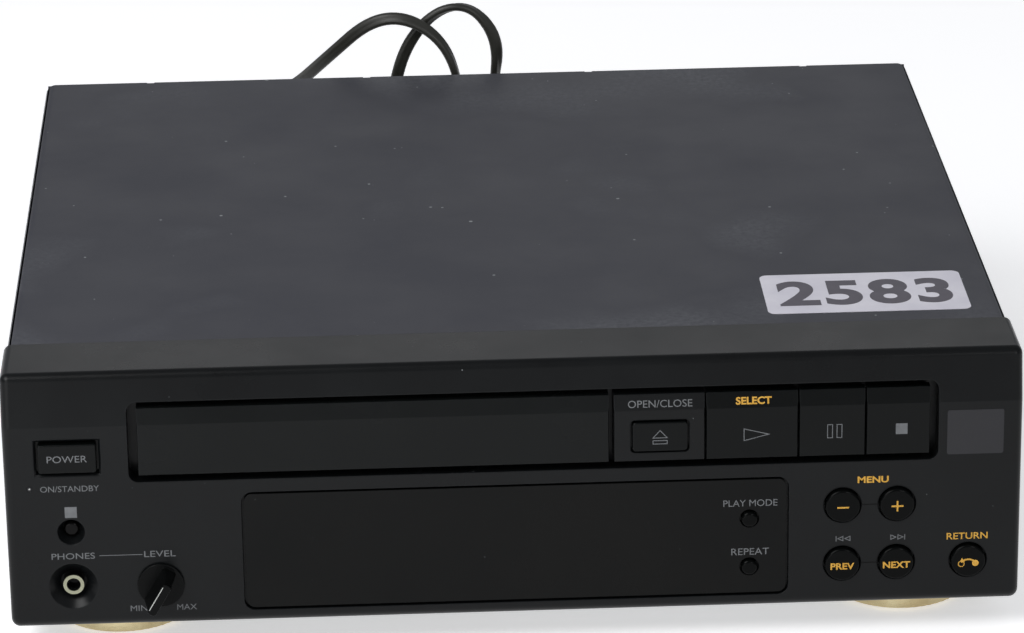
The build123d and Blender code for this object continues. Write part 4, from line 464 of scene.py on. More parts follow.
REAR_PAINT = Finish(
    "rear_paint", "1d1e1f", "252628", rough=(0.45, 0.56), grain_scale=2400.0, grain_depth=0.00002,
    wear=0.3, specks=0.06,
)
SCREW_BLACK = Finish(
    "screw_black", "27282a", "3a3b3d", rough=(0.3, 0.45), metal=0.85, specular=0.5,
)
GOLD_RING = RingFinish(
    "gold_ring", "c9b68a", "e0d2a8", rough=(0.18, 0.42), grain_depth=0.00002, metal=0.9,
    specular=0.5,
)
SOFT_RUBBER = Finish(
    "soft_rubber", "141414", "1d1d1c", rough=(0.7, 0.85), grain_scale=1800.0, grain_depth=0.00003,
    specular=0.3,
)
LEAD_SHEATH = Finish(
    "lead_sheath", "262622", "30302b", rough=(0.34, 0.46), grain_scale=1500.0,
    grain_depth=0.000012, specular=0.5, patch_scale=60.0,
)
LAMINATE = BoardFinish("board_laminate", "8a6a2c", "977634", rough=(0.4, 0.5), grain_scale=2200.0)
FRONT_LAMINATE = Finish(
    "front_laminate", "7d6129", "8c6d30", rough=(0.4, 0.5), grain_scale=2200.0,
)
ACETAL = Finish(
    "white_acetal", "d8d5c8", "e2dfd4", rough=(0.4, 0.5), grain_scale=2600.0, specular=0.45,
)
PICKUP_CASTING = Finish(
    "pickup_casting", "34363a", "43464a", rough=(0.4, 0.52), grain_scale=2600.0,
)
FLAT_CABLE = RibbonFinish("flat_cable", "c6c5bd", "d2d1ca", rough=(0.45, 0.55))
COPPER_WINDING = Finish(
    "transformer_tape", "b58a2a", "c79a38", rough=(0.35, 0.5), grain_scale=1600.0,
)
PAPER = Finish(
    "label_paper", "e2e0e8", "d6d4de", rough=(0.55, 0.65), grain_scale=4200.0, patch_scale=60.0,
    specular=0.3,
)
BLANK_STICKER = Finish("blank_sticker", "1d1d21", "232327", rough=(0.3, 0.4), specular=0.35)
GREY_INK = Finish(
    "grey_ink", "6a6c6e", "747678", rough=(0.45, 0.55), patch_scale=300.0, specular=0.2,
)
GOLD_INK = Finish(
    "gold_ink", "cf9c3c", "dcab4c", rough=(0.4, 0.5), patch_scale=300.0, specular=0.25,
)
# The knob's pale line: a pointer print that also paints the highlight along the grip's edge.
PALE_INK_AND_HIGHLIGHT = replace(GOLD_INK, name="pale_ink", colour="b6b8b4", patch_colour="c2c4c0")
# Painted shade: dark lines standing for the shade in fine grooves on the front.
GROOVE_SHADE = Finish("dark_ink", "060606", "090909", rough=(0.4, 0.5), specular=0.1)
DIGIT_INK = Finish(
    "digit_ink", "57545c", "625f67", rough=(0.5, 0.6), patch_scale=200.0, specular=0.3,
)
YELLOW_PLASTIC, WHITE_PLASTIC, RED_PLASTIC = (
    Finish(f"{name}_plastic", colour, patch_colour, rough=(0.35, 0.45))
    for name, colour, patch_colour in (
        ("yellow", "c9a516", "d3b022"), ("white", "cfcfca", "dadad6"), ("red", "96201c", "a32a24"))
)

NODE_FINISHES: dict[Finish, tuple[str, ...]] = {
    BEZEL_PLASTIC: ("front_bezel", "key_holder"),
    LID_PLASTIC: ("tray_lid",),
    KEY_PLASTIC: ("play_key", "pause_key", "stop_key", "open_close_button", "power_button"),
    BUTTON_PLASTIC: (
        "minus_button", "plus_button", "previous_button", "next_button", "return_button",
        "play_mode_button", "repeat_button",
    ),
    KNOB_PLASTIC: ("level_knob",),
    TRAY_PLASTIC: ("disc_tray", "turntable", "chucking_pulley"),
    HIDDEN_PLASTIC: ("foot_bodies", "loading_frame", "lift_frame", "system_switch"),
    WINDOW_ACRYLIC: ("display_window",),
    LENS_ACRYLIC: ("remote_lens",),
    DISPLAY_GLASS: ("display_tube",),
    LAMP_LENS: ("standby_lamp",),
    BRIGHT_STEEL: ("level_control", "guide_shaft", "loading_motor", "spindle_motor", "sled_motor"),
    ZINC_STEEL: ("chassis", "clamp_bridge", "optical_base"),
    REAR_PAINT: ("rear_panel",),
    SCREW_BLACK: ("screws",),
    COVER_PAINT: ("top_cover",),
    GOLD_RING: ("foot_rings",),
    SOFT_RUBBER: ("foot_pads", "rubber_dampers", "loading_belt"),
    LEAD_SHEATH: ("power_plug",),
    LAMINATE: ("main_board", "decoder_board"),
    FRONT_LAMINATE: ("front_board",),
    ACETAL: ("drive_gear", "pulley_gear", "motor_pulley", "sled_gear", "sled_pinion", "cam_slider"),
    PICKUP_CASTING: ("optical_pickup",),
    FLAT_CABLE: ("flat_cables",),
    COPPER_WINDING: ("power_transformer",),
}


def paint(piece: Piece, finish: Finish) -> Piece:
    """Give a piece one finish all over.

    Args:
        piece: The piece, whose mesh keeps its shape.
        finish: The finish.

    Returns:
        The same piece.
    """
    piece.data.materials.clear()
    piece.data.materials.append(finish.material())
    return piece


class Bench:
    """The modelling steps that the pieces share, each made with Blender's own operators."""

    @staticmethod
    def clear() -> None:
        """Leave edit mode and deselect everything."""
        if bpy.context.object and bpy.context.object.mode != "OBJECT":
            bpy.ops.object.mode_set(mode="OBJECT")
        bpy.ops.object.select_all(action="DESELECT")

    @staticmethod
    def linked(name: str, data: bpy.types.ID) -> Piece:
        """Make an object of its data and put it in the scene."""
        made = bpy.data.objects.new(name, data)
        bpy.context.scene.collection.objects.link(made)
        return made

    @staticmethod
    def named(name: str) -> Piece:
        """Name the active object and its mesh."""
        piece = bpy.context.object
        piece.name = name
        piece.data.name = name
        return piece

    @staticmethod
    def settle(piece: Piece) -> Piece:
        """Move a piece's place into its mesh, so that its object stays at the origin."""
        bpy.context.view_layer.update()
        piece.data.transform(piece.matrix_world)
        piece.matrix_world = Matrix.Identity(4)
        return piece

    @classmethod
    def pick(cls, piece: Piece) -> None:
        """Make a piece the active one and the only one selected."""
        cls.clear()
        bpy.context.view_layer.objects.active = piece
        piece.select_set(True)

    @classmethod
    def edit(cls, piece: Piece, steps: Callable[[], None]) -> None:
        """Run edit-mode steps on a piece with all of it selected."""
        cls.pick(piece)
        bpy.ops.object.mode_set(mode="EDIT")
        bpy.ops.mesh.select_all(action="SELECT")
        steps()
        bpy.ops.object.mode_set(mode="OBJECT")

    @classmethod
    def modify(cls, piece: Piece, kind: str, **settings: object) -> None:
        """Add a modifier, set it and apply it."""
        cls.pick(piece)
        modifier = piece.modifiers.new(kind.lower(), kind)
        for name, value in settings.items():
            setattr(modifier, name, value)
        bpy.ops.object.modifier_apply(modifier=modifier.name)

    @classmethod
    def outward(cls, piece: Piece) -> None:
        """Merge doubles and turn every face outwards."""
        def steps() -> None:
            """Merge and recalculate."""
            bpy.ops.mesh.remove_doubles(threshold=0.0000005)
            bpy.ops.mesh.normals_make_consistent(inside=False)
        cls.edit(piece, steps)

    @classmethod
    def block(cls, name: str, low: Vector, high: Vector, edge: float) -> Piece:
        """Make a block between two corners, its edges rounded in edit mode."""
        cls.clear()
        bpy.ops.mesh.primitive_cube_add(size=1, location=(low + high) / 2)
        piece = cls.named(name)
        piece.scale = high - low
        cls.settle(piece)
        cls.edit(piece, lambda: bpy.ops.mesh.bevel(offset=edge, segments=3, affect="EDGES"))
        return piece

    @classmethod
    def turned(cls, name: str, rings: Outline, place: Matrix, sides: int = 48) -> Piece:
        """Make a turned solid: a disc drawn out and resized from ring to ring.

        Args:
            name: The piece's name.
            rings: Radius and height of each ring, in millimetres, from the bottom up.
            place: Where the turning axis's origin lies and which way it points.
            sides: How many sides the circle has.

        Returns:
            The closed piece.
        """
        cls.clear()
        (radius, height), *further = [(r * MM, h * MM) for r, h in rings]
        bpy.ops.mesh.primitive_circle_add(
            vertices=sides, radius=radius, fill_type="NGON", location=(0, 0, height))
        piece = cls.settle(cls.named(name))

        def steps() -> None:
            """Draw the end face out and resize it, ring by ring."""
            last_radius, last_height = radius, height
            for ring_radius, ring_height in further:
                rise = {"value": (0, 0, ring_height - last_height)}
                bpy.ops.mesh.extrude_region_move(TRANSFORM_OT_translate=rise)
                factor = ring_radius / last_radius
                middle = (0, 0, ring_height)
                bpy.ops.transform.resize(value=(factor, factor, 1), center_override=middle)
                last_radius, last_height = ring_radius, ring_height
        cls.edit(piece, steps)
        piece.data.transform(place)
        cls.outward(piece)
        return piece

    @classmethod
    def plate(cls, name: str, corners: Outline, thick: float, place: Matrix,
              line: float = 0.0) -> Piece:
        """Make a thin plate from its corners, or only its outline.

        Args:
            name: The piece's name.
            corners: The outline's corners in metres, anticlockwise.
            thick: The plate's thickness.
            place: Where the middle of the plate's back lies.
            line: The width of the outline, or 0 for a full plate.

        Returns:
            The closed plate.
        """
        cls.clear()
        bpy.ops.mesh.primitive_circle_add(vertices=len(corners), radius=0.01, fill_type="NGON")
        piece = cls.named(name)
        for vertex, corner in zip(piece.data.vertices, corners):
            vertex.co = (*corner, 0.0)

        def open_middle() -> None:
            """Draw the outline in and cut its middle out."""
            bpy.ops.mesh.inset(thickness=line, use_boundary=True)
            bpy.ops.mesh.delete(type="FACE")
        if line:
            cls.edit(piece, open_middle)
        cls.outward(piece)
        side = 1.0 if piece.data.polygons[0].normal.z > 0 else -1.0
        cls.modify(piece, "SOLIDIFY", thickness=thick, offset=side)
        cls.outward(piece)
        piece.data.transform(place)
        return piece

    @classmethod
    def typed(cls, name: str, words: str, size: tuple[float, float], place: Matrix,
              weight: float = 0.0, spread: float = 1.0, steps: int = LEGEND_STEPS) -> Piece:
        """Set words in type as a thin solid, fitted to their measured size.

        Args:
            name: The piece's name.
            words: What it says.
            size: The width of the words and the height of their capitals, in millimetres.
            place: Where the middle of the words' back lies.
            weight: How far the strokes are thickened.
            spread: The spacing of the letters.
            steps: The steps of each curve.

        Returns:
            The closed words.
        """
        cls.clear()
        bpy.ops.object.text_add()
        text = bpy.context.object.data
        text.body, text.offset, text.space_character = words, weight, spread
        text.resolution_u, text.extrude = steps, TYPE_EXTRUDE
        bpy.ops.object.convert(target="MESH")
        piece = cls.named(name)
        corners = [Vector(c) for c in piece.bound_box]
        low, high = Vector(map(min, *corners)), Vector(map(max, *corners))
        full = high - low
        scale = (size[0] * MM / full.x, size[1] * MM / full.y, PRINT_T * MM / full.z, 1)
        centre = Matrix.Translation(-Vector(((low.x + high.x) / 2, (low.y + high.y) / 2, low.z)))
        piece.data.transform(place @ Matrix.Diagonal(scale) @ centre)
        cls.outward(piece)
        return piece

    @classmethod
    def joined(cls, name: str, pieces: Iterable[Piece]) -> Piece:
        """Join pieces of one finish into one object."""
        cls.clear()
        pieces = list(pieces)
        for piece in pieces:
            piece.select_set(True)
        bpy.context.view_layer.objects.active = pieces[0]
        if len(pieces) > 1:
            bpy.ops.object.join()
        return cls.named(name)


def fit(piece: Piece, finish: Finish) -> None:
    """Paint a piece, let it ride on the player and report it."""
    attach(paint(piece, finish), "player")
    LOG.info("fitted %s", piece.name)


def on_front(x: float, height: float, proud: float = 0.0) -> Matrix:
    """Give the place of a print on the front: its X to the right, its Z out of the face.

    Args:
        x: The print's middle across the front.
        height: The print's middle above the front's bottom edge.
        proud: How far the face that carries it stands out of the flat front.

    Returns:
        A matrix in metres.
    """
    lean = math.atan(FOLD_LEAN) if height > FOLD_H else 0.0
    back = max(0.0, height - FOLD_H) * FOLD_LEAN
    turn = Matrix.Rotation(math.radians(90) - lean, 4, "X")
    return Matrix.Translation(at(x, back - proud, height)) @ turn


def arc(centre: tuple[float, float], radius: float, start: float, end: float,
        steps: int) -> Outline:
    """Give points on an arc, angles in degrees, anticlockwise if end is above start."""
    angles = [math.radians(start + (end - start) * i / steps) for i in range(steps + 1)]
    return [(centre[0] + radius * math.cos(a), centre[1] + radius * math.sin(a)) for a in angles]


def rounded(wide: float, tall: float, corner: float, steps: int = 6) -> Outline:
    """Give a rounded rectangle's outline about its middle, anticlockwise."""
    points = []
    for sx, sy, start in ((1, 1, 0), (-1, 1, 90), (-1, -1, 180), (1, -1, 270)):
        centre = (sx * (wide / 2 - corner), sy * (tall / 2 - corner))
        points += arc(centre, corner, start, start + 90, steps)
    return points


@dataclass(frozen=True)
class Legend:
    """A printed word: what it says, where its middle is, how wide and tall its capitals are."""

    words: str
    x: float
    height: float
    width: float
    tall: float
    finish: Finish = GREY_INK
    body: str = "player"
    proud: float = 0.0
    weight: float = 0.0


# How far the faces that carry print stand out of the flat front, in millimetres.
ROUND_PROUD = 1.7
POWER_PROUD = 1.0
PANEL_PROUD = 0.7
WINDOW_PROUD = -0.3
KNOB_PROUD = 12.8
# The way in which the knob points at rest, in degrees.
KNOB_POINTS = -120.5
# Prints that cross lie this far apart, in millimetres.
LAYER = 0.005
LEGENDS = (
    Legend("POWER", -155.2, 64.5, 13.9, 2.5, body="power_button", proud=POWER_PROUD),
    Legend("ON/STANDBY", -154.8, 53.0, 20.4, 2.2),
    Legend("PHONES", -154.7, 27.5, 15.1, 2.3),
    Legend("LEVEL", -124.5, 27.5, 11.0, 2.3),
    Legend("MIN", -132.6, 6.9, 5.9, 2.1),
    Legend("MAX", -115.8, 6.9, 6.9, 2.1),
    Legend("OPEN/CLOSE", 50.7, 78.4, 22.4, 2.6),
    Legend("SELECT", 83.3, 78.6, 12.5, 2.7, GOLD_INK, "play_key", 0.0, 0.03),
    Legend("PLAY MODE", 82.3, 40.0, 19.0, 2.5, proud=WINDOW_PROUD),
    Legend("REPEAT", 82.3, 21.5, 13.3, 2.5, proud=WINDOW_PROUD),
    Legend("MENU", 125.3, 47.7, 10.9, 2.5, GOLD_INK, weight=0.03),
    Legend("RETURN", 158.8, 25.2, 14.5, 2.5, GOLD_INK, weight=0.012),
    Legend("PREV", 114.7, 15.6, 8.4, 2.5, GOLD_INK, "previous_button", ROUND_PROUD, 0.03),
    Legend("NEXT", 133.8, 15.6, 9.6, 2.5, GOLD_INK, "next_button", ROUND_PROUD, 0.03),
)


@dataclass
class Printing:
    """The words and signs printed on the front and on its keys."""

    line: float = 0.28

    def word(self, legend: Legend) -> Piece:
        """Print one word at its place."""
        place = on_front(legend.x, legend.height, legend.proud)
        size = (legend.width, legend.tall)
        return paint(Bench.typed("word", legend.words, size, place, legend.weight), legend.finish)

    def sign(self, corners: Outline, x: float, height: float, proud: float = 0.0,
             full: bool = False, finish: Finish = GREY_INK) -> Piece:
        """Print a sign, or only its outline, from its corners in millimetres about its middle."""
        scaled = [(a * MM, b * MM) for a, b in corners]
        line = 0.0 if full else self.line * MM
        place = on_front(x, height, proud)
        return paint(Bench.plate("sign", scaled, PRINT_T * MM, place, line), finish)

    @staticmethod
    def bar(wide: float, tall: float, x: float = 0.0, height: float = 0.0) -> Outline:
        """Give a rectangle's corners about a point."""
        turns = ((-1, -1), (1, -1), (1, 1), (-1, 1))
        return [(x + sx * wide / 2, height + sy * tall / 2) for sx, sy in turns]

    @staticmethod
    def pointer() -> Outline:
        """Give the corners of the knob's pale line along the left edge of its grip: a pointer print
        that also paints that edge's highlight.
        """
        angle = math.radians(KNOB_POINTS)
        ahead = Vector((math.cos(angle), math.sin(angle)))
        side = Vector((-ahead.y, ahead.x))
        corners = ((-4.3, -1.45), (5.7, -1.45), (5.7, -1.15), (-4.3, -1.15))
        return [tuple(ahead * along + side * across) for along, across in corners]

    def transport_signs(self) -> list[tuple[str, str, list[Piece]]]:
        """Make the signs on the keys: eject, play, pause and stop."""
        play = [(-4.6, -2.4), (4.7, 0.0), (-4.6, 2.4)]
        eject = [(-2.8, -0.7), (2.8, -0.7), (0.0, 2.4)]
        return [
            ("eject_sign", "open_close_button", [
                self.sign(corners, 50.6, 66.6, PANEL_PROUD)
                for corners in (eject, self.bar(5.2, 1.5, 0, -2.2))]),
            ("play_sign", "play_key", [self.sign(play, 84.4, 66.0)]),
            ("pause_sign", "pause_key", [
                self.sign(self.bar(2.0, 5.2, side * 1.65), 111.6, 66.4) for side in (-1, 1)]),
            ("stop_sign", "stop_key", [self.sign(self.bar(4.1, 4.0), 135.0, 66.6, full=True)]),
            # The pale line on the knob also paints the highlight on the grip's left edge.
            ("pointer_line", "level", [
                self.sign(self.pointer(), -124.5, 15.8, KNOB_PROUD, full=True, finish=PALE_INK_AND_HIGHLIGHT)]),
        ]

    def round_signs(self) -> list[tuple[str, str, list[Piece]]]:
        """Make the signs on the round buttons: minus, plus and return."""
        stroke = 0.6

        def gold(corners: Outline, x: float, height: float, layer: int = 0,
                 full: bool = True) -> Piece:
            """Print a gold sign, in a layer over those that it crosses."""
            return self.sign(corners, x, height, ROUND_PROUD + layer * LAYER, full, GOLD_INK)
        swing = arc((0.0, -2.2), 3.6, 32, 140, 12) + arc((0.0, -2.2), 3.0, 140, 32, 12)
        head = [(-2.9, 0.3), (-2.3, 1.7), (-1.2, 0.2)]
        return [
            ("minus_sign", "minus_button", [gold(self.bar(4.1, stroke), 114.7, 38.0)]),
            ("plus_sign", "plus_button", [
                gold(self.bar(4.2, stroke), 133.8, 38.0),
                gold(self.bar(stroke, 4.0), 133.8, 38.0, 1)]),
            ("return_sign", "return_button", [
                gold(arc((2.5, -0.4), 1.2, 0, 330, 11), 159.2, 15.8),
                gold(arc((-2.5, -0.6), 1.2, 0, 330, 11), 159.2, 15.8, full=False),
                gold(swing, 159.2, 15.8, 1),
                gold(head, 159.2, 15.8, 2)]),
        ]

    def panel_signs(self) -> list[Piece]:
        """Make the signs on the bezel: the skip signs, the remote's mark and the joining line."""
        signs = [self.sign(self.bar(4.2, 4.1), -154.8, 44.1, full=True)]
        signs.append(self.sign(self.bar(15.0, 0.22), -138.1, 27.4, full=True))
        for side, middle in ((-1, 115.3), (1, 134.0)):
            for tip in (2.5, 0.0):
                foot = side * (tip - 2.3)
                corners = [(side * tip, 0.0), (foot, 1.05), (foot, -1.05)]
                signs.append(self.sign(corners if side > 0 else corners[::-1], middle, 25.5))
            signs.append(self.sign(self.bar(0.3, 2.1, side * 2.75), middle, 25.5, full=True))
        return signs

    def joining_lines(self) -> Piece:
        """Make the thin dark lines that join minus to plus and previous to next, painted shade that
        stands for fine grooves.
        """
        line = self.bar(5.6, 0.4)
        return Bench.joined("joining_lines", [
            self.sign(line, 124.25, height, full=True, finish=GROOVE_SHADE) for height in (38.3, 16.1)])

    def build(self) -> None:
        """Print every word and sign and let each ride on what carries it."""
        grouped: dict[tuple[str, str], list[Piece]] = {}
        for legend in LEGENDS:
            grouped.setdefault((legend.body, legend.finish.name), []).append(self.word(legend))
        grouped[("player", GREY_INK.name)] += self.panel_signs()
        for (body, ink), words in grouped.items():
            piece = Bench.joined(f"{body}_{ink}_words", words)
            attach(piece, body)
            LOG.info("printed %s", piece.name)
        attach(self.joining_lines(), "player")
        for name, body, parts in self.transport_signs() + self.round_signs():
            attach(Bench.joined(name, parts), body)
            LOG.info("printed %s", name)


@dataclass
class Stickers:
    """The paper label on the cover and the blank dark sticker on the front."""

    label_w: float = 72.5
    label_deep: float = 39.0
    label_x: float = 128.9
    label_depth: float = 63.6
    label_turn: float = -0.05
    paper_t: float = 0.15
    corner: float = 3.0
    digits: str = "2583"
    digits_size: tuple[float, float] = (62.6, 25.0)
    digits_weight: float = 0.035
    digits_spread: float = 1.12
    digits_steps: int = 12
    sticker_w: float = 19.8
    sticker_tall: float = 16.6
    sticker_corner: float = 0.8
    sticker_t: float = 0.08
    sticker_spot: tuple[float, float] = (160.9, 64.7)

    def build(self) -> None:
        """Lay the label and its plain digits on the cover, and the sticker on the front."""
        spot = at(self.label_x, self.label_depth, 0)
        spot.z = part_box("top_cover")[1].z
        place = Matrix.Translation(spot) @ Matrix.Rotation(math.radians(self.label_turn), 4, "Z")
        outline = rounded(self.label_w * MM, self.label_deep * MM, self.corner * MM)
        label = Bench.plate("paper_label", outline, self.paper_t * MM, place)
        raised = place @ Matrix.Translation((0, 0, self.paper_t * MM))
        digits = Bench.typed(
            "label_digits", self.digits, self.digits_size, raised, self.digits_weight,
            self.digits_spread, self.digits_steps)
        outline = rounded(
            self.sticker_w * MM, self.sticker_tall * MM, self.sticker_corner * MM)
        place = on_front(*self.sticker_spot)
        sticker = Bench.plate("blank_sticker", outline, self.sticker_t * MM, place)
        for piece, finish in ((label, PAPER), (digits, DIGIT_INK), (sticker, BLANK_STICKER)):
            fit(piece, finish)


# Along the loops: x, depth and height in millimetres, then the direction of the wide side.
LEAD_LOOPS: tuple[tuple[float, ...], ...] = (
    (-124, 352, 50, 0, 0, 1), (-124, 374, 50, 0, 0, 1), (-121, 394, 54, 0, 0, 1),
    (-111, 407, 61, 0, 0, 1), (-97, 409, 70, -0.1, 0, 1), (-86, 396, 78, -0.3, 0, 0.9),
    (-77, 374, 85.5, -0.6, 0, 0.8), (-60.5, 352, 107, -0.77, 0, 0.63),
    (-43.5, 345, 124, -0.5, 0.2, 0.85), (-27.5, 343, 125.5, 0.1, 0.6, 0.8),
    (-12.5, 341, 114.5, 0.3, 0.9, 0.3), (-6.5, 341, 94, 0, 1, 0), (-4.5, 343, 56, 0, 1, 0),
    (-5, 345, 17, 0, 1, 0), (-16, 347, 5, 0, 1, 0), (-32, 349, 5, 0, 1, 0),
    (-43, 351, 17, 0.1, 1, 0), (-43, 352, 52, 0.6, 0.8, 0), (-35, 351, 89, 1, 0.2, -0.15),
    (-29, 350, 111.5, 0.93, 0.1, -0.35), (-15.5, 349, 127, 0.3, 0.7, -0.5),
    (-1, 349, 128, 0.2, 1, 0), (10, 349, 112.5, 1, 0.2, 0.2), (7, 350, 90.5, 0.2, 1, 0),
    (8, 352, 54, 0, 1, 0), (18, 355, 24, 0, 0.9, 0.4), (38, 360, 6, 0, 0.4, 0.9),
)


@dataclass
class MainsLead:
    """The flat twin lead: two loops behind the player, a neat coil, its relief, tie and plug.

    The lead's and the tie's sizes are in metres, those of the relief's ribs in millimetres.
    """

    width: float = 0.0052
    thick: float = 0.0032
    coil_centre: tuple[float, float] = (0.092, 0.404)
    coil_inner: float = 0.023
    coil_pitch: float = 0.0059
    coil_rise: float = 0.0057
    coil_draw: float = 0.966
    layer_turns: float = 2.75
    turn_points: int = 12
    coil_entry: float = 0.034
    plug_axis: float = 0.00685
    plug_turn: float = 0.024
    plug_end: float = 0.042
    ribs: int = 6
    rib_r: float = 5.6
    rib_taper: float = 1.5
    rib_depth: float = 1.1
    collar_reach: float = 10.0
    tie_room: tuple[float, float] = (0.0015, 0.0008)
    tie_width: float = 0.004
    tie_thick: float = 0.0006
    tie_corner: float = 0.0016
    tie_sink: float = 0.0001

    def route(self) -> list[tuple[Vector, Vector]]:
        """Give the route's points in metres, each with the way in which its wide side faces."""
        entry = self.coil_centre[1] - self.coil_inner - self.coil_pitch * self.layer_turns
        upright = (0.0, 0.0, 1.0)
        run = [(tuple(v * MM for v in point[:3]), point[3:]) for point in LEAD_LOOPS]
        run.append(((self.coil_centre[0] - self.coil_entry, entry, self.width / 2), upright))
        run += [(spot, upright) for spot in self.coil()]
        tail = 2 * self.coil_centre[1] - entry
        for back, wide in ((self.plug_turn, (0.0, 0.5, 0.8)), (self.plug_end, (0.0, 1.0, 0.2))):
            run.append(((self.coil_centre[0] - back, tail, self.plug_axis), wide))
        return [
            (Vector((x, FRONT_Y + depth, height)), Vector(wide))
            for (x, depth, height), wide in run
        ]

    def coil(self) -> list[Spot]:
        """Wind the coil: in on the floor, up as it turns back, and out again on top."""
        spots = []
        for step in range(round(2 * self.layer_turns * self.turn_points) + 1):
            turns = step / self.turn_points - self.layer_turns
            angle = 2 * math.pi * step / self.turn_points - math.pi / 2
            radius = self.coil_inner + self.coil_pitch * abs(turns)
            climb = self.coil_rise * min(1.0, max(0.0, 0.5 + 2 * turns))
            x = self.coil_centre[0] + radius * math.cos(angle)
            depth = self.coil_centre[1] + radius * math.sin(angle)
            spots.append((x, depth, self.width / 2 + climb))
        return spots

    def section(self) -> Outline:
        """Give the lead's section: two round cores side by side with a shallow groove between."""
        core = self.thick / 2
        off = (self.width - self.thick) / 2
        return arc((off, 0.0), core, -110, 110, 10) + arc((-off, 0.0), core, 70, 290, 10)

    def sweep(self, path: Sequence[Vector], ways: Sequence[Vector]) -> Piece:
        """Draw the section along the middle line, its wide side turned as the route says.

        Args:
            path: The middle line's points.
            ways: The wide side's direction at each of the route's points.

        Returns:
            The closed lead.
        """
        section = self.section()
        count, last = len(section), len(path) - 1
        spots, faces = [], []
        for index, spot in enumerate(path):
            ahead = (path[min(index + 1, last)] - path[max(index - 1, 0)]).normalized()
            step = min(len(ways) - 1.0, max(0.0, index / last * (len(ways) - 2) + 0.5))
            low = min(int(step), len(ways) - 2)
            wide = ways[low].lerp(ways[low + 1], step - low)
            wide = (wide - ahead * wide.dot(ahead)).normalized()
            thin = ahead.cross(wide)
            spots += [spot + wide * a + thin * b for a, b in section]
        for ring in range(last):
            for side in range(count):
                near, far = ring * count + side, ring * count + (side + 1) % count
                faces.append((near, far, far + count, near + count))
        faces.append(tuple(range(count)))
        faces.append(tuple(range(last * count, (last + 1) * count)))
        mesh = bpy.data.meshes.new("mains_lead")
        mesh.from_pydata(spots, [], faces)
        lead = Bench.linked("mains_lead", mesh)
        Bench.outward(lead)
        for face in lead.data.polygons:
            face.use_smooth = len(face.vertices) == 4
        return lead

    @staticmethod
    def line(points: Sequence[Vector]) -> list[Vector]:
        """Draw a smooth middle line through the route and give the points along it."""
        curve = bpy.data.curves.new("lead_line", "CURVE")
        curve.dimensions = "3D"
        curve.resolution_u = 8
        curve.twist_mode = "MINIMUM"
        spline = curve.splines.new("NURBS")
        spline.points.add(len(points) - 1)
        for point, spot in zip(spline.points, points):
            point.co = (*spot, 1.0)
        spline.order_u = 3
        spline.use_endpoint_u = True
        piece = Bench.linked("lead_line", curve)
        bpy.context.view_layer.update()
        drawn = piece.evaluated_get(bpy.context.evaluated_depsgraph_get())
        spots = [v.co.copy() for v in bpy.data.meshes.new_from_object(drawn).vertices]
        bpy.data.objects.remove(piece)
        return spots

    def relief(self) -> Piece:
        """Turn the ribbed strain relief, which tapers towards the lead."""
        low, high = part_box("strain_relief")
        reach = (high.y - low.y) / MM
        step = (reach - self.collar_reach) / self.ribs
        rings = [(5.9, 0.0), (5.9, 7.0), (8.0, 7.0), (8.0, 9.0), (7.4, 9.6)]
        for rib in range(self.ribs):
            foot = self.collar_reach + rib * step
            outer = self.rib_r - self.rib_taper * rib / self.ribs
            inner = outer - self.rib_depth
            rings += [
                (inner, foot), (inner, foot + 0.35 * step),
                (outer, foot + 0.42 * step), (outer, foot + 0.9 * step)]
        rings += [(3.9, reach - 0.4), (3.4, reach)]
        middle = (low + high) / 2
        place = Matrix.Translation((middle.x, low.y, middle.z)) @ BACKWARDS
        piece = Bench.turned("lead_relief", rings, place, 40)
        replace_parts(piece, "strain_relief")
        return paint(piece, SOFT_RUBBER)

    def tie(self) -> Piece:
        """Wrap a narrow tie round the coil's turns, at the side away from the player's middle."""
        wide = self.coil_draw * self.coil_pitch * 2 + self.thick + self.tie_room[0]
        tall = self.coil_rise + self.width + self.tie_room[1]
        outline = rounded(wide, tall, self.tie_corner, 5)
        middle = self.coil_centre[0] + self.coil_draw * (self.coil_inner + self.coil_pitch * 1.5)
        front = FRONT_Y + self.coil_centre[1] + self.tie_width / 2
        place = Matrix.Translation((middle, front, tall / 2 - self.tie_sink)) @ FORWARDS
        piece = Bench.plate("coil_tie", outline, self.tie_width, place, self.tie_thick)
        return paint(piece, SOFT_RUBBER)

    def build(self) -> None:
        points, ways = zip(*self.route())
        spots = self.line(points)
        lead = self.sweep(spots, ways)
        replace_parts(paint(lead, LEAD_SHEATH), "power_cord", "lead_coil")
        relief, tie = self.relief(), self.tie()
        for piece in (lead, relief, tie):
            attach(piece, "player")
            LOG.info("laid %s", piece.name)


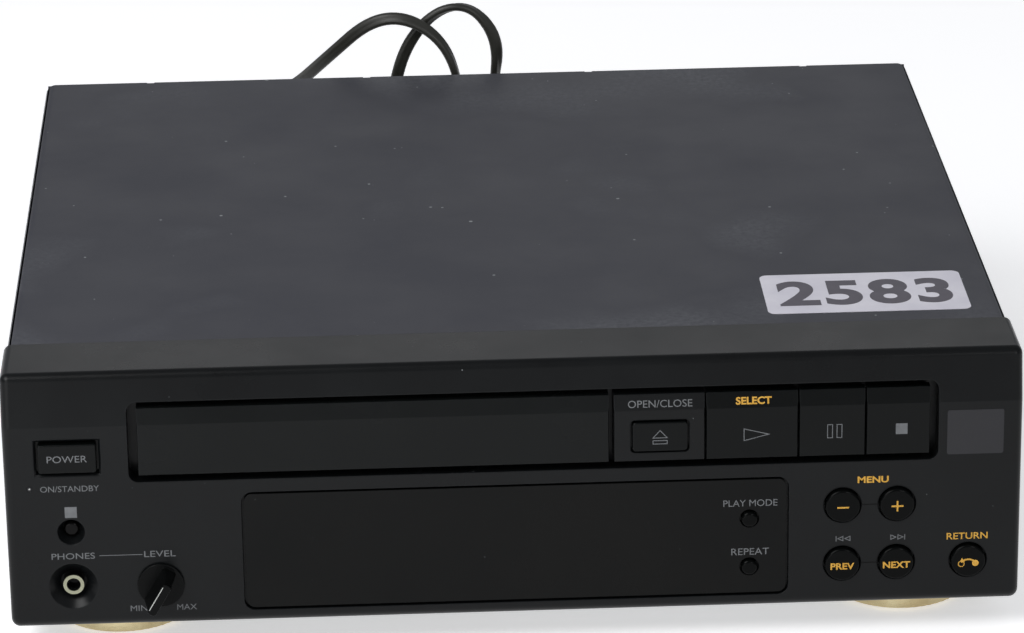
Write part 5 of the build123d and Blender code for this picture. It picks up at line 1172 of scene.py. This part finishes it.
@dataclass
class PhonesSocket:
    """The phones socket: a black body with a narrow nickel ring at its mouth."""

    x: float = -155.1
    height: float = 16.1
    mouth: float = 1.2
    ring_r: float = 3.65
    ring_w: float = 1.2
    ring_t: float = 0.5
    ring_sides: int = 48
    jack_r: float = 1.8
    body_depth: float = 4.8
    body_reach: float = 3.0
    body_w: float = 12.0
    body_tall: float = 13.0
    body_edge: float = 0.4

    def build(self) -> None:
        """Make the body, the barrel and the ring."""
        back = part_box("front_board")[0].y + self.body_reach * MM
        low = at(self.x - self.body_w / 2, self.body_depth, self.height - self.body_tall / 2)
        high = at(self.x + self.body_w / 2, 0.0, self.height + self.body_tall / 2)
        high = Vector((high.x, back, high.z))
        body = Bench.block("phones_body", low, high, self.body_edge * MM)
        rings = [(3.6, -9.0), (3.6, 3.1), (2.2, 3.1), (2.2, 2.7)]
        rings += [(self.jack_r, 2.2), (self.jack_r, -8.0)]
        place = Matrix.Translation(at(self.x, self.body_depth, self.height)) @ FORWARDS
        barrel = Bench.turned("phones_barrel", rings, place)
        circle = arc((0.0, 0.0), self.ring_r * MM, 0, 360 - 360 / self.ring_sides,
                     self.ring_sides - 1)
        place = on_front(self.x, self.height, -self.mouth - self.ring_t)
        ring = Bench.plate("phones_ring", circle, self.ring_t * MM, place, self.ring_w * MM)
        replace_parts(barrel, "phones_socket")
        for piece in (body, barrel):
            fit(piece, BUTTON_PLASTIC)
        fit(ring, SOCKET_NICKEL)


@dataclass
class RearSockets:
    """The three output sockets: a black housing, nickel shells and coloured insulators."""

    places: tuple[float, ...] = (-146.0, -131.0, -116.0)
    height: float = 24.0
    housing_reach: float = 8.8
    housing_edge: float = 0.4
    sides: int = 36

    def build(self) -> None:
        """Make the housing and, for each socket, its boss, its shell and its insulator."""
        low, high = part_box("output_sockets")
        inner, outer = (corner.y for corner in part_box("rear_panel"))
        high = Vector((high.x, inner + self.housing_reach * MM, high.z))
        housing = Bench.block("socket_housing", low, high, self.housing_edge * MM)
        fit(housing, HIDDEN_PLASTIC)
        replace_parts(housing, "output_sockets")
        boss = [(4.65, -1.0), (4.65, 0.4), (4.55, 0.5), (4.0, 0.5)]
        shell = [(4.15, -1.0), (4.15, 8.7), (3.95, 9.0), (3.4, 9.0), (3.4, 2.0)]
        insulator = [(3.35, 1.5), (3.35, 7.6), (3.0, 7.9), (1.7, 7.9), (1.6, 7.7), (1.6, 3.0)]
        for x, colour in zip(self.places, (YELLOW_PLASTIC, WHITE_PLASTIC, RED_PLASTIC)):
            spot = at(x, 0, self.height)
            place = Matrix.Translation((spot.x, outer, spot.z)) @ BACKWARDS
            parts = (
                ("boss", boss, HIDDEN_PLASTIC), ("shell", shell, NICKEL),
                ("insulator", insulator, colour),
            )
            for part, rings, finish in parts:
                name = f"socket_{part}_{colour.name.split('_')[0]}"
                fit(Bench.turned(name, rings, place, self.sides), finish)


LAMPS: tuple[tuple[str, Spot, Spot, tuple[float, float], float], ...] = (
    ("key_lamp", (-0.9, -0.8, 1.4), (0.0, 0.0, 0.05), (1.2, 0.9), 15.0),
    ("back_lamp", (0.15, 1.6, 0.78), (0.0, 0.0, 0.08), (1.2, 0.4), 0.85),
    ("front_lamp", (0.9, -1.9, 0.9), (0.0, 0.0, 0.02), (0.5, 0.5), 5.0),
    ("near_lamp", (-0.42, -0.52, 0.45), (-0.2, -0.34, 0.0), (0.2, 0.2), 0.7),
    ("left_screen", (-1.05, -1.9, 0.3), (-0.1, 0.0, 0.08), (1.2, 0.6), 5.0),
)


@dataclass
class Studio:
    """A pale floor, soft light and the camera at the photograph's angle."""

    picture: tuple[float, float] = (1024.0, 633.0)
    focal: float = 4696.7
    azimuth: float = -2.284
    elevation: float = 20.899
    roll: float = -0.785
    distance: float = 1.6147
    aim: Spot = (-0.00031, 0.0, 0.11246)
    sky_colour: Colour = (0.93, 0.95, 1.0)
    sky_strength: float = 0.34
    floor_size: float = 16.0
    floor_colour: Colour = (0.86, 0.86, 0.87)
    floor_rough: float = 0.85
    floor_specular: float = 0.1
    floor_glow: float = 0.5

    def camera(self) -> None:
        """Set the camera where the photograph was taken from."""
        turn, rise, roll = (math.radians(a) for a in (self.azimuth, self.elevation, self.roll))
        level = math.cos(rise)
        back = Vector((math.sin(turn) * level, -math.cos(turn) * level, math.sin(rise)))
        right = (-back).cross(Vector((0, 0, 1))).normalized()
        up = right.cross(-back)
        rolled_right = right * math.cos(roll) + up * math.sin(roll)
        rolled_up = up * math.cos(roll) - right * math.sin(roll)
        aim = Vector((self.aim[0], FRONT_Y + self.aim[1], BASE_Z + self.aim[2]))
        place = Matrix((rolled_right, rolled_up, back)).transposed().to_4x4()
        place.translation = aim + back * self.distance
        data = bpy.data.cameras.new("photo_camera")
        data.sensor_width = 36.0
        data.lens = self.focal * data.sensor_width / self.picture[0]
        data.clip_end = 20.0
        camera = Bench.linked("photo_camera", data)
        camera.matrix_world = place
        bpy.context.scene.camera = camera

    def floor(self) -> None:
        """Lay the floor: pale where it takes light, white to the eye and in gloss."""
        Bench.clear()
        bpy.ops.mesh.primitive_plane_add(size=self.floor_size)
        floor = Bench.named("floor")
        made = bpy.data.materials.new("pale_floor")
        made.use_nodes = True
        wiring = Wiring(made.node_tree)
        path = wiring.add("LightPath").outputs
        seen = wiring.math("ADD", path["Is Camera Ray"], path["Is Glossy Ray"])
        seen = wiring.math("ADD", seen, path["Is Transmission Ray"])
        glow = wiring.product(wiring.math("MINIMUM", seen, 1.0), self.floor_glow)
        wiring.feed(made.node_tree.nodes["Principled BSDF"], {
            "Base Color": self.floor_colour, "Roughness": self.floor_rough,
            "Specular IOR Level": self.floor_specular,
            "Emission Color": (1.0, 1.0, 1.0), "Emission Strength": glow})
        floor.data.materials.append(made)

    @staticmethod
    def lamp(name: str, spot: Spot, aim: Spot, size: tuple[float, float], power: float) -> None:
        """Hang a soft lamp that points at a spot."""
        data = bpy.data.lights.new(name, "AREA")
        data.shape = "RECTANGLE"
        data.size, data.size_y = size
        data.energy = power
        away = Vector(spot) - Vector(aim)
        turn = away.to_track_quat("Z", "Y").to_matrix().to_4x4()
        Bench.linked(name, data).matrix_world = Matrix.Translation(spot) @ turn

    def light(self) -> None:
        """Light the room evenly and hang the soft lamps."""
        world = bpy.data.worlds.new("studio")
        world.use_nodes = True
        sky = {"Color": self.sky_colour, "Strength": self.sky_strength}
        Wiring(world.node_tree).feed(world.node_tree.nodes["Background"], sky)
        bpy.context.scene.world = world
        for lamp in LAMPS:
            self.lamp(*lamp)

    def build(self) -> None:
        """Set up the camera, the floor and the light, and plain colour handling."""
        self.camera()
        self.floor()
        self.light()
        bpy.context.scene.view_settings.view_transform = "Standard"


def dress_nodes() -> None:
    """Give every CAD node its finish."""
    for finish, names in NODE_FINISHES.items():
        for name in names:
            paint(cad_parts[name], finish)
            LOG.info("finished %s with %s", name, finish.name)


def main() -> None:
    """Build the studio, then dress the player piece by piece."""
    logging.basicConfig(level=logging.INFO, format="%(name)s: %(message)s")
    Studio().build()
    MainsLead().build()
    dress_nodes()
    Printing().build()
    Stickers().build()
    PhonesSocket().build()
    RearSockets().build()


if __name__ == "__main__":
    main()
